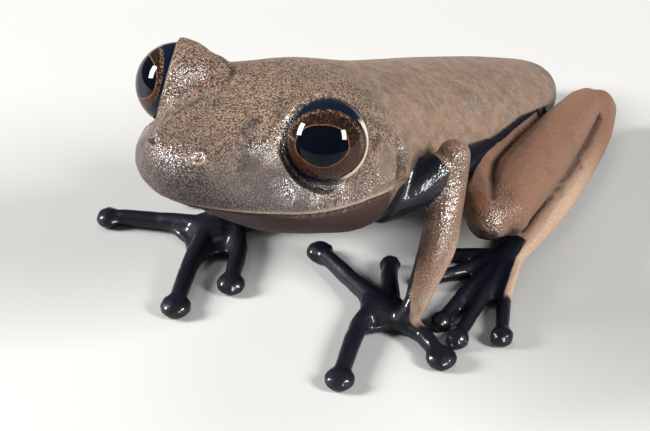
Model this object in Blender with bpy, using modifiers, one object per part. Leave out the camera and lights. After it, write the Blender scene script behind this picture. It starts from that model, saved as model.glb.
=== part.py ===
# Cocoa frog, life size, sitting with its head raised and its legs folded.
# All sizes below are in millimetres; the last step scales the solids to metres.
# The frog looks along -Y, its own left side is +X, and it rests on z = 0.

import math
import random

import bpy
from mathutils import Matrix, Vector

random.seed(7)

# Head: pitch of the snout above level, and the middle between the two eyes.
HEAD_PITCH = 16.8
EYE_Y = -15.0
EYE_Z = 18.67

# Eyes.
EYE_X = 6.32
EYE_RADIUS = 2.92
EYE_BACK_RADIUS = 2.3
EYE_BACK_DEPTH = 2.75
LID_RADIUS = 3.25
LID_AXIS_LEFT = (0.75, -0.53, 0.40)
LID_AXIS_RIGHT = (-0.85, -0.46, 0.25)
LID_OFFSET_LEFT = 0.1
LID_OFFSET_RIGHT = 0.6
LID_OPENING = 3.45
BROW = (4.9, -0.6, -0.2)
BROW_HALVES = (2.6, 3.3, 2.6)
DOME_STEPS = 7
BOWL_STEPS = 4
EYE_AROUND = 24

# Nostrils and eardrums, in head terms: sideways, forward, upward.
NOSTRIL = (1.84, 8.0, -1.15)
NOSTRIL_RADIUS = 0.3
DRUM = (7.95, -5.6, -2.35)
DRUM_HALF_LENGTH = 1.05
DRUM_HALF_HEIGHT = 1.35
DRUM_THICKNESS = 0.6

# Mouth line, as forward distance and height in the head, front to corner.
MOUTH_LINE = ((12.0, -4.75), (8.0, -4.7), (5.5, -4.7), (2.5, -4.65), (-0.5, -4.5),
              (-3.3, -4.35), (-6.2, -4.3), (-6.9, -4.9), (-6.7, -7.0), (-6.2, -14.0))

# Rim of the lids around each eye.
LID_RIM = 3.12
LID_RIM_HALF = 0.27

# Lip bead, as sideways and forward distance at a level just above the mouth line.
LIP_LEVEL = -4.25
LIP_HALF = 0.32
LIP_LINE = ((8.35, -5.6), (8.3, -3.6), (8.1, -1.4), (7.55, 0.7), (6.6, 2.6), (5.3, 4.55),
            (3.85, 6.0), (2.1, 7.15), (0.0, 7.75))

# Ridge from eye to nostril and fold over the eardrum, in head terms with a half width.
CANTHUS = ((3.7, 2.6, -0.7, 1.15), (2.85, 4.4, -1.05, 1.1), (2.1, 6.2, -1.5, 1.05),
           (1.7, 7.1, -1.75, 0.95))
EAR_FOLD = ((6.3, -2.9, 0.35, 0.6), (6.75, -4.6, -0.05, 0.65), (7.2, -6.2, -0.6, 0.65),
            (7.75, -7.7, -1.9, 0.65), (7.9, -8.5, -3.6, 0.55))
NOSTRIL_SWELL = 0.75

# Gap between neighbouring solids, room cut around a limb, and height pressed onto the floor.
GAP = 0.3
FIT_GAP = 0.36
FLOOR_SNAP = 0.05

# Outline of the head: forward distance, then pairs of sideways distance and height
# for the crown, crown edge, brow, cheek, lip, jaw side, throat side and throat.
HEAD_STATIONS = (
    (8.85, (0, -1.7), (0.45, -1.75), (0.75, -1.95), (0.9, -2.4), (0.75, -2.9), (0.55, -3.2),
     (0.3, -3.35), (0, -3.4)),
    (8.4, (0, -1.15), (1.05, -1.2), (1.8, -1.6), (2.15, -2.4), (1.9, -3.4), (1.35, -3.9),
     (0.7, -4.2), (0, -4.25)),
    (7.65, (0, -0.75), (1.45, -0.8), (2.5, -1.25), (3.05, -2.4), (2.85, -3.8), (1.7, -4.6),
     (1.0, -4.95), (0, -5.05)),
    (6.5, (0, -0.35), (1.7, -0.4), (2.85, -0.95), (3.65, -2.4), (4.05, -3.9), (3.0, -4.95),
     (1.7, -5.6), (0, -5.75)),
    (4.8, (0, 0.2), (1.9, 0.15), (3.3, -0.45), (4.35, -2.1), (5.5, -3.9), (4.6, -5.25),
     (2.9, -6.2), (0, -6.5)),
    (2.5, (0, 0.9), (2.4, 0.9), (4.2, 0.35), (5.7, -1.6), (7.15, -3.9), (6.4, -5.5),
     (4.1, -6.8), (0, -7.2)),
    (0.0, (0, 1.5), (2.8, 1.55), (5.2, 1.1), (7.1, -1.2), (8.1, -3.8), (7.6, -5.7),
     (4.8, -7.3), (0, -7.8)),
    (-3.0, (0, 1.9), (3.0, 1.9), (5.6, 1.1), (7.5, -1.2), (8.5, -3.9), (8.1, -6.0),
     (5.1, -7.9), (0, -8.5)),
    (-6.0, (0, 1.9), (3.1, 1.75), (5.7, 0.6), (7.5, -1.4), (8.5, -4.0), (8.0, -6.4),
     (5.2, -8.5), (0, -9.1)),
    (-9.0, (0, 1.8), (3.0, 1.5), (5.4, 0.2), (6.9, -1.9), (7.6, -4.2), (7.2, -6.7),
     (4.9, -8.9), (0, -9.6)),
)

# Outline of the trunk: y and z of the back's middle line, depth, half width.
TRUNK_TILT = 27.0
TRUNK_STATIONS = (
    (-0.5, 15.1, 11.2, 6.6),
    (4.0, 12.9, 11.6, 6.9),
    (9.0, 10.55, 11.2, 7.0),
    (13.5, 8.4, 9.6, 6.3),
    (17.5, 6.45, 7.4, 5.4),
    (20.5, 4.9, 5.5, 4.3),
    (22.7, 3.75, 3.7, 3.0),
    (23.9, 2.9, 2.0, 1.2),
)
TRUNK_SHAPE = ((0, 0), (0.4, -0.04), (0.72, -0.14), (0.93, -0.3), (1.0, -0.5),
               (0.93, -0.72), (0.6, -0.93), (0, -1.0))

# Upper arms: x, y, z, half width and half height, shoulder to elbow.
UPPER_ARM_LEFT = (
    (5.2, -7.0, 8.6, 1.5, 1.5), (6.5, -6.0, 9.3, 1.6, 1.6), (7.7, -4.6, 10.3, 1.45, 1.45),
    (8.4, -3.2, 11.2, 1.2, 1.2))
UPPER_ARM_RIGHT = (
    (-5.4, -8.0, 8.0, 1.7, 1.7), (-6.7, -6.4, 8.9, 1.7, 1.7), (-7.9, -4.5, 10.0, 1.5, 1.5),
    (-8.7, -2.9, 10.9, 1.2, 1.2))
# Forearms, elbow to wrist.
FOREARM_LEFT = (
    (8.7, -2.6, 11.65, 1.25, 1.25), (8.65, -2.9, 9.9, 1.29, 1.29), (9.0, -4.3, 7.2, 1.36, 1.36),
    (9.25, -5.3, 5.5, 1.36, 1.36), (9.35, -7.0, 3.7, 1.1, 1.1), (9.5, -8.7, 2.2, 0.88, 0.88),
    (9.0, -9.3, 1.15, 0.82, 0.78))
FOREARM_RIGHT = (
    (-9.0, -2.2, 11.2, 1.25, 1.25), (-9.0, -2.3, 9.7, 1.29, 1.29), (-9.3, -3.2, 7.2, 1.33, 1.33),
    (-9.5, -4.2, 5.4, 1.28, 1.28), (-9.6, -5.4, 3.6, 1.05, 1.05), (-9.7, -6.5, 2.2, 0.88, 0.88),
    (-9.6, -7.2, 1.15, 0.82, 0.78))

# Palms: centre and half sizes.
PALM_LEFT = ((7.3, -8.8, 1.0), (2.3, 1.45, 0.95))
PALM_RIGHT = ((-9.4, -7.9, 1.0), (2.0, 1.8, 0.95))

# Fingers, inner to outer: root, middle, tip on the floor, and pad half width.
FINGERS_LEFT = (
    ((6.9, -7.9), (5.3, -5.6), (4.0, -3.6), 0.85),
    ((6.1, -8.3), (3.0, -7.05), (-1.25, -5.25), 1.1),
    ((6.3, -8.9), (6.65, -11.7), (8.7, -16.85), 1.15),
    ((8.8, -9.2), (10.7, -9.5), (13.25, -10.75), 1.18))
FINGERS_RIGHT = (
    ((-8.5, -6.9), (-7.5, -4.9), (-6.9, -3.0), 0.85),
    ((-7.8, -7.2), (-6.15, -9.0), (-4.35, -12.3), 1.12),
    ((-9.3, -8.9), (-8.0, -12.6), (-6.0, -16.8), 1.2),
    ((-10.6, -8.2), (-13.4, -9.1), (-17.15, -10.85), 1.05))
FINGER_HALF = 0.72
FINGER_HEIGHT = 0.74
PAD_HEIGHT = 0.56
PAD_HALF_HEIGHT = 0.76

# Left hind leg: x, y, z, half width and half height along each piece.
THIGH_LEFT = (
    (3.6, 15.6, 3.3, 1.8, 1.6), (4.3, 12.6, 3.8, 1.85, 1.8), (5.3, 8.7, 4.5, 1.8, 2.0),
    (6.6, 4.6, 5.15, 1.6, 1.95), (8.5, 1.3, 5.55, 1.5, 1.8), (10.1, -0.15, 5.8, 1.5, 1.65))
KNEE_LEFT = ((10.6, -0.45, 5.75), 1.8)
SHANK_LEFT = (
    (11.3, 1.0, 5.5, 1.7, 1.75), (10.45, 2.4, 5.45, 2.2, 2.05), (9.6, 5.0, 5.25, 2.5, 2.2),
    (8.9, 9.2, 4.8, 2.35, 2.1), (7.9, 14.0, 4.2, 2.05, 1.85), (6.95, 19.0, 3.65, 1.6, 1.4),
    (6.7, 20.9, 3.3, 1.35, 1.15))
TARSUS_LEFT = (
    (7.5, 21.8, 2.4, 1.1, 1.05), (8.6, 19.1, 2.1, 1.15, 1.15), (9.45, 16.0, 1.95, 1.2, 1.2),
    (10.25, 12.2, 1.85, 1.25, 1.22), (10.75, 9.2, 1.75, 1.27, 1.15), (10.95, 6.0, 1.45, 1.3, 1.05),
    (11.0, 3.4, 1.15, 1.3, 0.9), (10.9, 1.2, 1.0, 1.25, 0.8))
HEEL_LEFT = ((7.2, 21.5, 2.85), 1.3)
# Right hind leg, its heel tucked in behind the body.
THIGH_RIGHT = (
    (-3.2, 15.2, 4.0, 1.6, 1.8), (-4.1, 12.4, 4.5, 1.7, 2.1), (-5.5, 8.5, 5.0, 1.65, 2.2),
    (-7.4, 4.4, 5.4, 1.5, 2.0), (-9.0, 1.3, 5.7, 1.5, 1.8), (-10.1, 0.0, 5.8, 1.5, 1.6))
KNEE_RIGHT = ((-10.6, -0.45, 5.7), 1.75)
SHANK_RIGHT = (
    (-11.5, 0.8, 5.2, 1.45, 1.6), (-11.2, 2.3, 4.9, 1.7, 1.8), (-10.3, 5.4, 4.3, 1.85, 1.9),
    (-8.8, 9.5, 3.5, 1.8, 1.8), (-7.0, 14.5, 2.6, 1.5, 1.5), (-5.5, 19.0, 1.9, 1.1, 1.1),
    (-5.1, 20.4, 1.7, 1.0, 1.0))
TARSUS_RIGHT = (
    (-5.9, 21.2, 1.15, 0.95, 0.95), (-7.4, 19.3, 1.1, 0.95, 0.9), (-8.5, 17.0, 1.1, 0.98, 0.92),
    (-9.7, 14.2, 1.15, 1.05, 0.98), (-10.8, 11.2, 1.2, 1.12, 1.0), (-11.6, 8.4, 1.2, 1.18, 0.96),
    (-11.95, 6.0, 1.1, 1.25, 0.88), (-11.95, 4.0, 0.98, 1.2, 0.78))
HEEL_RIGHT = ((-5.2, 21.2, 1.25), 1.1)

# Toes, inner to outer: root, middle, tip on the floor, and pad half width.
TOES_LEFT = (
    ((10.2, 1.4), (8.1, 0.6), (6.2, -0.4), 0.74),
    ((10.4, 1.0), (8.9, -1.3), (7.4, -3.5), 0.8),
    ((10.8, 0.7), (10.6, -3.4), (10.9, -7.3), 0.85),
    ((11.2, 0.8), (12.0, -3.8), (13.0, -8.25), 0.9),
    ((11.6, 1.5), (13.1, -2.0), (15.45, -6.2), 0.92))
TOES_RIGHT = (
    ((-11.1, 4.2), (-9.5, 2.6), (-8.0, 1.1), 0.74),
    ((-11.4, 3.8), (-10.2, 1.0), (-9.4, -1.6), 0.8),
    ((-11.8, 3.6), (-11.6, -0.6), (-11.35, -4.0), 0.85),
    ((-12.2, 3.7), (-12.9, -0.4), (-13.6, -5.0), 0.9),
    ((-12.5, 4.3), (-14.2, 1.0), (-16.0, -2.6), 0.92))
TOE_HALF = 0.6
TOE_HEIGHT = 0.66
WRIST_SHARE = 0.3
CUT_HEIGHT = 0.65
CUT_RADIUS = 1.12
WEB_THICKNESS = 0.6
FINGER_WEB_REACH = 0.05
TOE_WEB_REACH = (0.1, 0.15, 0.2, 0.1)
WEB_SCOOP = (0.27, 0.38, 0.27)

# Middle of the standing outline, so that the origin lies under it.
MIDDLE_X = -0.9
MIDDLE_Y = -0.3

SKIN_BROWN = (0.235, 0.175, 0.135, 1)
SKIN_DARK = (0.035, 0.033, 0.042, 1)
THROAT_GREY = (0.15, 0.12, 0.125, 1)
EYE_BLACK = (0.02, 0.012, 0.008, 1)
SKIN_ROUGHNESS = 0.5
WET_ROUGHNESS = 0.25
EYE_ROUGHNESS = 0.05

# Steps along and around the lofts.
TRUNK_STEPS = 5
RING_STEPS = 5
LIMB_STEPS = 6
LIMB_AROUND = 20

# Cell and smoothing used to melt each mass, and its triangles before it is parted.
BODY_CELL = 0.17
BODY_SMOOTHING = 6
DIGIT_CELL = 0.16
DIGIT_SMOOTHING = 4
LIMB_CELL = 0.2
LIMB_SMOOTHING = 2
BODY_TRIANGLES = 5000
ARM_TRIANGLES = 1000
UPPER_ARM_TRIANGLES = 240
THIGH_TRIANGLES = 360
SHANK_TRIANGLES = 360
FOOT_TRIANGLES = 1000
ROOM_TRIANGLES = 300


# Helpers

def clear_scene():
    for thing in list(bpy.data.objects):
        bpy.data.objects.remove(thing, do_unlink=True)


def new_collection(name):
    group = bpy.data.collections.new(name)
    bpy.context.scene.collection.children.link(group)
    return group


def mesh_object(name, points, faces, group):
    mesh = bpy.data.meshes.new(name)
    mesh.from_pydata([tuple(p) for p in points], [], faces)
    mesh.update()
    thing = bpy.data.objects.new(name, mesh)
    group.objects.link(thing)
    return thing


def apply_modifiers(thing):
    """Replace the mesh with its modified form."""
    graph = bpy.context.evaluated_depsgraph_get()
    mesh = bpy.data.meshes.new_from_object(thing.evaluated_get(graph), depsgraph=graph)
    thing.modifiers.clear()
    thing.data = mesh


def join(name, things, group):
    """One mesh holding every part, in place."""
    points, faces = [], []
    for thing in things:
        start = len(points)
        points += [thing.matrix_world @ v.co for v in thing.data.vertices]
        faces += [[start + i for i in f.vertices] for f in thing.data.polygons]
        bpy.data.objects.remove(thing, do_unlink=True)
    return mesh_object(name, points, faces, group)


def spline(knots, t):
    """Smooth curve through evenly numbered knots; t runs from 0 to len - 1."""
    last = len(knots) - 1
    i = min(int(t), last - 1)
    u = t - i
    p1, p2 = knots[i], knots[i + 1]
    p0 = knots[i - 1] if i > 0 else [2 * a - b for a, b in zip(p1, p2)]
    p3 = knots[i + 2] if i + 2 <= last else [2 * b - a for a, b in zip(p1, p2)]
    return [0.5 * (2 * b + (c - a) * u + (2 * a - 5 * b + 4 * c - d) * u * u
                   + (3 * b - a - 3 * c + d) * u ** 3)
            for a, b, c, d in zip(p0, p1, p2, p3)]


def closed_ring(knots, per_span):
    """Smooth closed curve through knots of x and height."""
    n = len(knots)
    ring = []
    for i in range(n):
        four = [knots[(i + k - 1) % n] for k in range(4)]
        for s in range(per_span):
            u = s / per_span
            ring.append([0.5 * (2 * b + (c - a) * u + (2 * a - 5 * b + 4 * c - d) * u * u
                                + (3 * b - a - 3 * c + d) * u ** 3)
                         for a, b, c, d in zip(*four)])
    return ring


def skin_rings(name, rings, group):
    """Closed tube over rings of equal count, with a fan at each end."""
    count = len(rings[0])
    points = [p for ring in rings for p in ring]
    faces = []
    for r in range(len(rings) - 1):
        for i in range(count):
            j = (i + 1) % count
            a, b = r * count, (r + 1) * count
            faces.append((a + i, a + j, b + j, b + i))
    for r, flip in ((0, True), (len(rings) - 1, False)):
        middle = sum((Vector(p) for p in rings[r]), Vector()) / count
        points.append(middle)
        hub = len(points) - 1
        for i in range(count):
            j = (i + 1) % count
            a, b = r * count + i, r * count + j
            faces.append((b, a, hub) if flip else (a, b, hub))
    thing = mesh_object(name, points, faces, group)
    return thing


def head_point(side, ahead, above):
    tilt = math.radians(HEAD_PITCH)
    return Vector((side,
                   EYE_Y - ahead * math.cos(tilt) + above * math.sin(tilt),
                   EYE_Z + ahead * math.sin(tilt) + above * math.cos(tilt)))


def trunk_loft(group):
    """Head and trunk as one loft from the snout to the vent."""
    stations = []
    for row in HEAD_STATIONS:
        base = head_point(0, row[0], 0)
        stations.append([base.y, base.z, HEAD_PITCH] + [c for pair in row[1:] for c in pair])
    for y, z, depth, half in TRUNK_STATIONS:
        stations.append([y, z, TRUNK_TILT]
                        + [c for x, v in TRUNK_SHAPE for c in (x * half, v * depth)])
    rings = []
    for k in range((len(stations) - 1) * TRUNK_STEPS + 1):
        row = spline(stations, k / TRUNK_STEPS)
        tilt = math.radians(row[2])
        pairs = [(row[i], row[i + 1]) for i in range(3, len(row), 2)]
        knots = pairs + [(-x, v) for x, v in reversed(pairs[1:-1])]
        rings.append([(x, row[0] + v * math.sin(tilt), row[1] + v * math.cos(tilt))
                      for x, v in closed_ring(knots, RING_STEPS)])
    return skin_rings("trunk_loft", rings, group)


def limb(name, knots, group, grow=0.0):
    """Oval tube through knots of x, y, z, half width and half height, round at both ends."""
    rows = [spline(knots, k / LIMB_STEPS) for k in range((len(knots) - 1) * LIMB_STEPS + 1)]
    turns = [math.tau * i / LIMB_AROUND for i in range(LIMB_AROUND)]
    centres = [Vector(r[:3]) for r in rows]
    rings = []
    last_side = None
    for k, row in enumerate(rows):
        ahead = centres[min(k + 1, len(rows) - 1)] - centres[max(k - 1, 0)]
        ahead.normalize()
        across = ahead.cross(Vector((0, 0, 1)))
        if across.length < 0.5:
            across = last_side - ahead * last_side.dot(ahead) if last_side else Vector((1, 0, 0))
        across.normalize()
        if last_side is not None and across.dot(last_side) < 0:
            across = -across
        last_side = across
        upward = across.cross(ahead)
        half, tall = row[3] + grow, row[4] + grow
        if k == 0 or k == len(rows) - 1:
            outward = -ahead if k == 0 else ahead
            dome = []
            for degrees in (80, 60, 40, 20):
                far, small = math.sin(math.radians(degrees)), math.cos(math.radians(degrees))
                middle = centres[k] + outward * (min(half, tall) * far)
                dome.append([tuple(middle + across * (half * small * math.cos(a))
                                   + upward * (tall * small * math.sin(a)))
                             for a in turns])
            ring = [tuple(centres[k] + across * (half * math.cos(a)) + upward * (tall * math.sin(a)))
                    for a in turns]
            rings += dome + [ring] if k == 0 else [ring] + dome[::-1]
            continue
        rings.append([tuple(centres[k] + across * (half * math.cos(a)) + upward * (tall * math.sin(a)))
                      for a in turns])
    return skin_rings(name, rings, group)


def adopt(thing, name, group):
    thing.name = name
    thing.data.name = name
    for group_now in list(thing.users_collection):
        group_now.objects.unlink(thing)
    group.objects.link(thing)
    return thing


def ball(name, centre, halves, group, fineness=4):
    bpy.ops.mesh.primitive_ico_sphere_add(subdivisions=fineness, radius=1, location=(0, 0, 0))
    thing = adopt(bpy.context.object, name, group)
    for v in thing.data.vertices:
        v.co = Vector((v.co.x * halves[0] + centre[0], v.co.y * halves[1] + centre[1],
                       v.co.z * halves[2] + centre[2]))
    return thing


def plate(name, centre, normal, radius, thickness, group, corners=20):
    """Thin round cutter set square to the given direction."""
    bpy.ops.mesh.primitive_cylinder_add(vertices=corners, radius=radius, depth=thickness)
    thing = adopt(bpy.context.object, name, group)
    turn = Vector((0, 0, 1)).rotation_difference(Vector(normal)).to_matrix().to_4x4()
    thing.data.transform(Matrix.Translation(Vector(centre)) @ turn)
    return thing


def prism(name, outline, low, high, group):
    """Flat polygon in plan, between two heights."""
    n = len(outline)
    points = [(x, y, low) for x, y in outline] + [(x, y, high) for x, y in outline]
    faces = [tuple(reversed(range(n))), tuple(range(n, 2 * n))]
    faces += [(i, (i + 1) % n, n + (i + 1) % n, n + i) for i in range(n)]
    return mesh_object(name, points, faces, group)


def fuse(thing, cell, smooth):
    """Melt overlapping parts into one closed surface."""
    remesh = thing.modifiers.new("melt", "REMESH")
    remesh.mode = "VOXEL"
    remesh.voxel_size = cell
    relax = thing.modifiers.new("relax", "SMOOTH")
    relax.factor = 0.5
    relax.iterations = smooth
    apply_modifiers(thing)


def thin_out(thing, triangles):
    now = sum(len(f.vertices) - 2 for f in thing.data.polygons)
    less = thing.modifiers.new("less", "DECIMATE")
    less.ratio = min(1.0, triangles / now)
    less.use_collapse_triangulate = True
    apply_modifiers(thing)


def rest_on_floor(thing):
    """Press whatever comes near the floor flat onto it."""
    for v in thing.data.vertices:
        if v.co.z < FLOOR_SNAP:
            v.co.z = 0.0


def boolean(thing, cutter, kind="DIFFERENCE"):
    cut = thing.modifiers.new("cut", "BOOLEAN")
    cut.operation = kind
    cut.object = cutter
    cut.solver = "MANIFOLD"
    apply_modifiers(thing)


def loose_parts(thing, group):
    """Split a mesh into its separate closed surfaces."""
    mesh = thing.data
    parent = list(range(len(mesh.vertices)))

    def root(i):
        while parent[i] != i:
            parent[i] = parent[parent[i]]
            i = parent[i]
        return i

    for edge in mesh.edges:
        a, b = root(edge.vertices[0]), root(edge.vertices[1])
        if a != b:
            parent[a] = b
    families = {}
    for face in mesh.polygons:
        families.setdefault(root(face.vertices[0]), []).append(face)
    pieces = []
    for faces in families.values():
        index, points, polygons = {}, [], []
        for face in faces:
            row = []
            for i in face.vertices:
                if i not in index:
                    index[i] = len(points)
                    points.append(mesh.vertices[i].co.copy())
                row.append(index[i])
            polygons.append(row)
        pieces.append(mesh_object("piece", points, polygons, group))
    bpy.data.objects.remove(thing, do_unlink=True)
    return pieces


def volume(thing):
    total = 0.0
    mesh = thing.data
    for face in mesh.polygons:
        first = mesh.vertices[face.vertices[0]].co
        for i in range(1, len(face.vertices) - 1):
            total += first.dot(mesh.vertices[face.vertices[i]].co.cross(
                mesh.vertices[face.vertices[i + 1]].co))
    return total / 6


def name_pieces(pieces, seeds):
    """Each seed point names the nearest piece; scraps are dropped."""
    named = {}
    for name, point in seeds:
        best, found = 1e9, None
        for piece in pieces:
            if abs(volume(piece)) < 0.05:
                continue
            near = min((v.co - Vector(point)).length for v in piece.data.vertices)
            if near < best:
                best, found = near, piece
        if found in named.values():
            raise RuntimeError("two names for one piece: " + name)
        named[name] = found
    for piece in pieces:
        if piece not in named.values():
            bpy.data.objects.remove(piece, do_unlink=True)
    for name, piece in named.items():
        piece.name = name
        piece.data.name = name
    return named


# Body

def turned_about_eye(name, side, top, profile, bottom, around, group):
    """Turned solid on the axis of one eye, from radius and height pairs, front to back."""
    axis = LID_AXIS_LEFT if side > 0 else LID_AXIS_RIGHT
    points = [(0, 0, top)]
    for r, z in profile:
        points += [(r * math.cos(math.tau * i / around), r * math.sin(math.tau * i / around), z)
                   for i in range(around)]
    points.append((0, 0, bottom))
    faces = [(0, 1 + i, 1 + (i + 1) % around) for i in range(around)]
    for r in range(len(profile) - 1):
        a, b = 1 + r * around, 1 + (r + 1) * around
        faces += [(a + i, b + i, b + (i + 1) % around, a + (i + 1) % around)
                  for i in range(around)]
    a, end = 1 + (len(profile) - 1) * around, len(points) - 1
    faces += [(a + i, end, a + (i + 1) % around) for i in range(around)]
    thing = mesh_object(name, points, faces, group)
    turn = Vector((0, 0, 1)).rotation_difference(Vector(axis).normalized()).to_matrix().to_4x4()
    thing.data.transform(Matrix.Translation(Vector((side * EYE_X, EYE_Y, EYE_Z))) @ turn)
    return thing


def bowl(radius, step, depth):
    """Back of an eyeball or its socket, from the plane of the lids inwards."""
    return [(radius * math.cos(a), step - (depth + step) * math.sin(a))
            for a in (math.pi / 2 * k / BOWL_STEPS for k in range(BOWL_STEPS))]


def eyeball(side, word, group):
    """Full ball in front of the lids, a narrower plug behind them."""
    step = (LID_OFFSET_LEFT if side > 0 else LID_OFFSET_RIGHT) + GAP
    start = math.acos(step / EYE_RADIUS)
    dome = [(EYE_RADIUS * math.sin(start * k / DOME_STEPS),
             EYE_RADIUS * math.cos(start * k / DOME_STEPS)) for k in range(1, DOME_STEPS + 1)]
    return turned_about_eye("eye_" + word, side, EYE_RADIUS,
                            dome + bowl(EYE_BACK_RADIUS, step, EYE_BACK_DEPTH),
                            -EYE_BACK_DEPTH, EYE_AROUND, group)


def socket(side, word, group):
    """Room for the eyeball: open in front of the lids, a bowl behind them."""
    step = LID_OFFSET_LEFT if side > 0 else LID_OFFSET_RIGHT
    opening = [(LID_OPENING, 2 * EYE_RADIUS), (LID_OPENING, step)]
    return turned_about_eye("socket_" + word, side, 2 * EYE_RADIUS,
                            opening + bowl(EYE_BACK_RADIUS + GAP, step, EYE_BACK_DEPTH + GAP),
                            -EYE_BACK_DEPTH - GAP, EYE_AROUND, group)


def drum_disc(name, side, grow, group):
    """Eardrum: a shallow oval disc lying in the cheek."""
    centre = head_point(side * DRUM[0], DRUM[1], DRUM[2])
    outward = Vector((side * 0.93, 0.05, 0.36)).normalized()
    bpy.ops.mesh.primitive_cylinder_add(vertices=24, radius=1, depth=DRUM_THICKNESS + 2 * grow)
    thing = adopt(bpy.context.object, name, group)
    ahead = Vector((0, -1, 0.25))
    ahead = (ahead - outward * ahead.dot(outward)).normalized()
    tall = outward.cross(ahead)
    frame = Matrix((ahead, tall, outward)).transposed().to_4x4()
    size = Matrix.Diagonal((DRUM_HALF_LENGTH + grow, DRUM_HALF_HEIGHT + grow, 1, 1))
    thing.data.transform(Matrix.Translation(centre) @ frame @ size)
    if frame.determinant() < 0:
        thing.data.flip_normals()
    return thing


def mouth_cutter(group):
    """Thin curved sheet along the mouth line, turning down behind its corner."""
    upper, lower = [], []
    for i, (ahead, above) in enumerate(MOUTH_LINE):
        before = MOUTH_LINE[max(i - 1, 0)]
        after = MOUTH_LINE[min(i + 1, len(MOUTH_LINE) - 1)]
        run, rise = after[0] - before[0], after[1] - before[1]
        size = math.hypot(run, rise)
        off = (-rise / size * GAP / 2, run / size * GAP / 2)
        upper.append((ahead - off[0], above - off[1]))
        lower.append((ahead + off[0], above + off[1]))
    outline = upper + lower[::-1]
    n = len(outline)
    points = [head_point(side, a, v) for side in (-12, 12) for a, v in outline]
    faces = []
    for i in range(len(MOUTH_LINE) - 1):
        a, b, c, d = i, i + 1, n - 2 - i, n - 1 - i
        faces += [(a, b, c, d), (n + d, n + c, n + b, n + a)]
    faces += [((i + 1) % n, i, n + i, n + (i + 1) % n) for i in range(n)]
    thing = mesh_object("mouth_cutter", points, faces, group)
    if volume(thing) < 0:
        thing.data.flip_normals()
    return thing


def lid_rim(side, group):
    """Ring of the upper and lower lids round the opening of the eye."""
    axis = Vector(LID_AXIS_LEFT if side > 0 else LID_AXIS_RIGHT).normalized()
    offset = LID_OFFSET_LEFT if side > 0 else LID_OFFSET_RIGHT
    bpy.ops.mesh.primitive_torus_add(major_radius=math.sqrt(LID_RIM ** 2 - offset ** 2),
                                     minor_radius=LID_RIM_HALF,
                                     major_segments=40, minor_segments=10)
    thing = adopt(bpy.context.object, "lid_rim", group)
    turn = Vector((0, 0, 1)).rotation_difference(axis).to_matrix().to_4x4()
    centre = Vector((side * EYE_X, EYE_Y, EYE_Z)) + axis * (offset - LID_RIM_HALF / 2)
    thing.data.transform(Matrix.Translation(centre) @ turn)
    return thing


def head_ridge(name, knots, side, group):
    """Raised line on the head through knots in head terms, with a half width each."""
    points = [tuple(head_point(side * x, ahead, above)) + (half, half)
              for x, ahead, above, half in knots]
    return limb(name, points, group)


def lip_bead(group):
    left = [(x, ahead, LIP_LEVEL, LIP_HALF) for x, ahead in LIP_LINE]
    right = [(-x, ahead, LIP_LEVEL, LIP_HALF) for x, ahead in reversed(LIP_LINE[:-1])]
    return head_ridge("lip", left + right, 1, group)


def make_body(solids):
    parts = [trunk_loft(solids), lip_bead(solids)]
    for side in (1, -1):
        centre = Vector((side * EYE_X, EYE_Y, EYE_Z))
        parts.append(ball("lid", centre, (LID_RADIUS,) * 3, solids))
        parts.append(lid_rim(side, solids))
        inner = head_point(side * BROW[0], BROW[1], BROW[2])
        parts.append(ball("brow", inner, BROW_HALVES, solids))
        parts.append(head_ridge("canthus", CANTHUS, side, solids))
        parts.append(head_ridge("ear_fold", EAR_FOLD, side, solids))
        nostril = head_point(side * NOSTRIL[0], NOSTRIL[1] - 0.3, NOSTRIL[2] - 0.3)
        parts.append(ball("swell", nostril, (NOSTRIL_SWELL,) * 3, solids, 3))
    body = join("body", parts, solids)
    fuse(body, BODY_CELL, BODY_SMOOTHING)
    rest_on_floor(body)
    thin_out(body, BODY_TRIANGLES)
    rest_on_floor(body)
    return body


def carve_head(body, cutters):
    for side, word in ((1, "left"), (-1, "right")):
        boolean(body, socket(side, word, cutters))
        boolean(body, drum_disc("drum_room_" + word, side, GAP, cutters))
        nostril = head_point(side * NOSTRIL[0], NOSTRIL[1], NOSTRIL[2])
        boolean(body, plate("nostril_" + word, nostril, (side * 0.6, -0.35, 0.72),
                            NOSTRIL_RADIUS, 0.9, cutters, 10))


# Limbs

def digit(root, middle, tip, pad, half, height, group):
    """One finger or toe lying on the floor, with its round pad."""
    reach = Vector((tip[0] - middle[0], tip[1] - middle[1]))
    neck = Vector(tip) - reach.normalized() * (pad * 0.9)
    knots = ((root[0], root[1], height + 0.25, half + 0.12, half + 0.06),
             (middle[0], middle[1], height + 0.03, half, half),
             (neck.x, neck.y, height - 0.02, half - 0.1, half - 0.06))
    shaft = limb("shaft", knots, group)
    end = ball("pad", (tip[0], tip[1], PAD_HEIGHT), (pad, pad, PAD_HALF_HEIGHT), group, 3)
    return [shaft, end]


def make_arm(name, knots, palm, fingers, group):
    parts = [limb("arm", knots, group), ball("palm", palm[0], palm[1], group, 3)]
    for root, middle, tip, pad in fingers:
        parts += digit(root, middle, tip, pad, FINGER_HALF, FINGER_HEIGHT, group)
    for a, b in zip(fingers, fingers[1:]):
        parts.append(web(a, b, FINGER_WEB_REACH, group))
    arm = join(name, parts, group)
    fuse(arm, DIGIT_CELL, DIGIT_SMOOTHING)
    rest_on_floor(arm)
    thin_out(arm, ARM_TRIANGLES)
    rest_on_floor(arm)
    return arm


def between(a, b, share):
    return (a[0] + (b[0] - a[0]) * share, a[1] + (b[1] - a[1]) * share)


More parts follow.
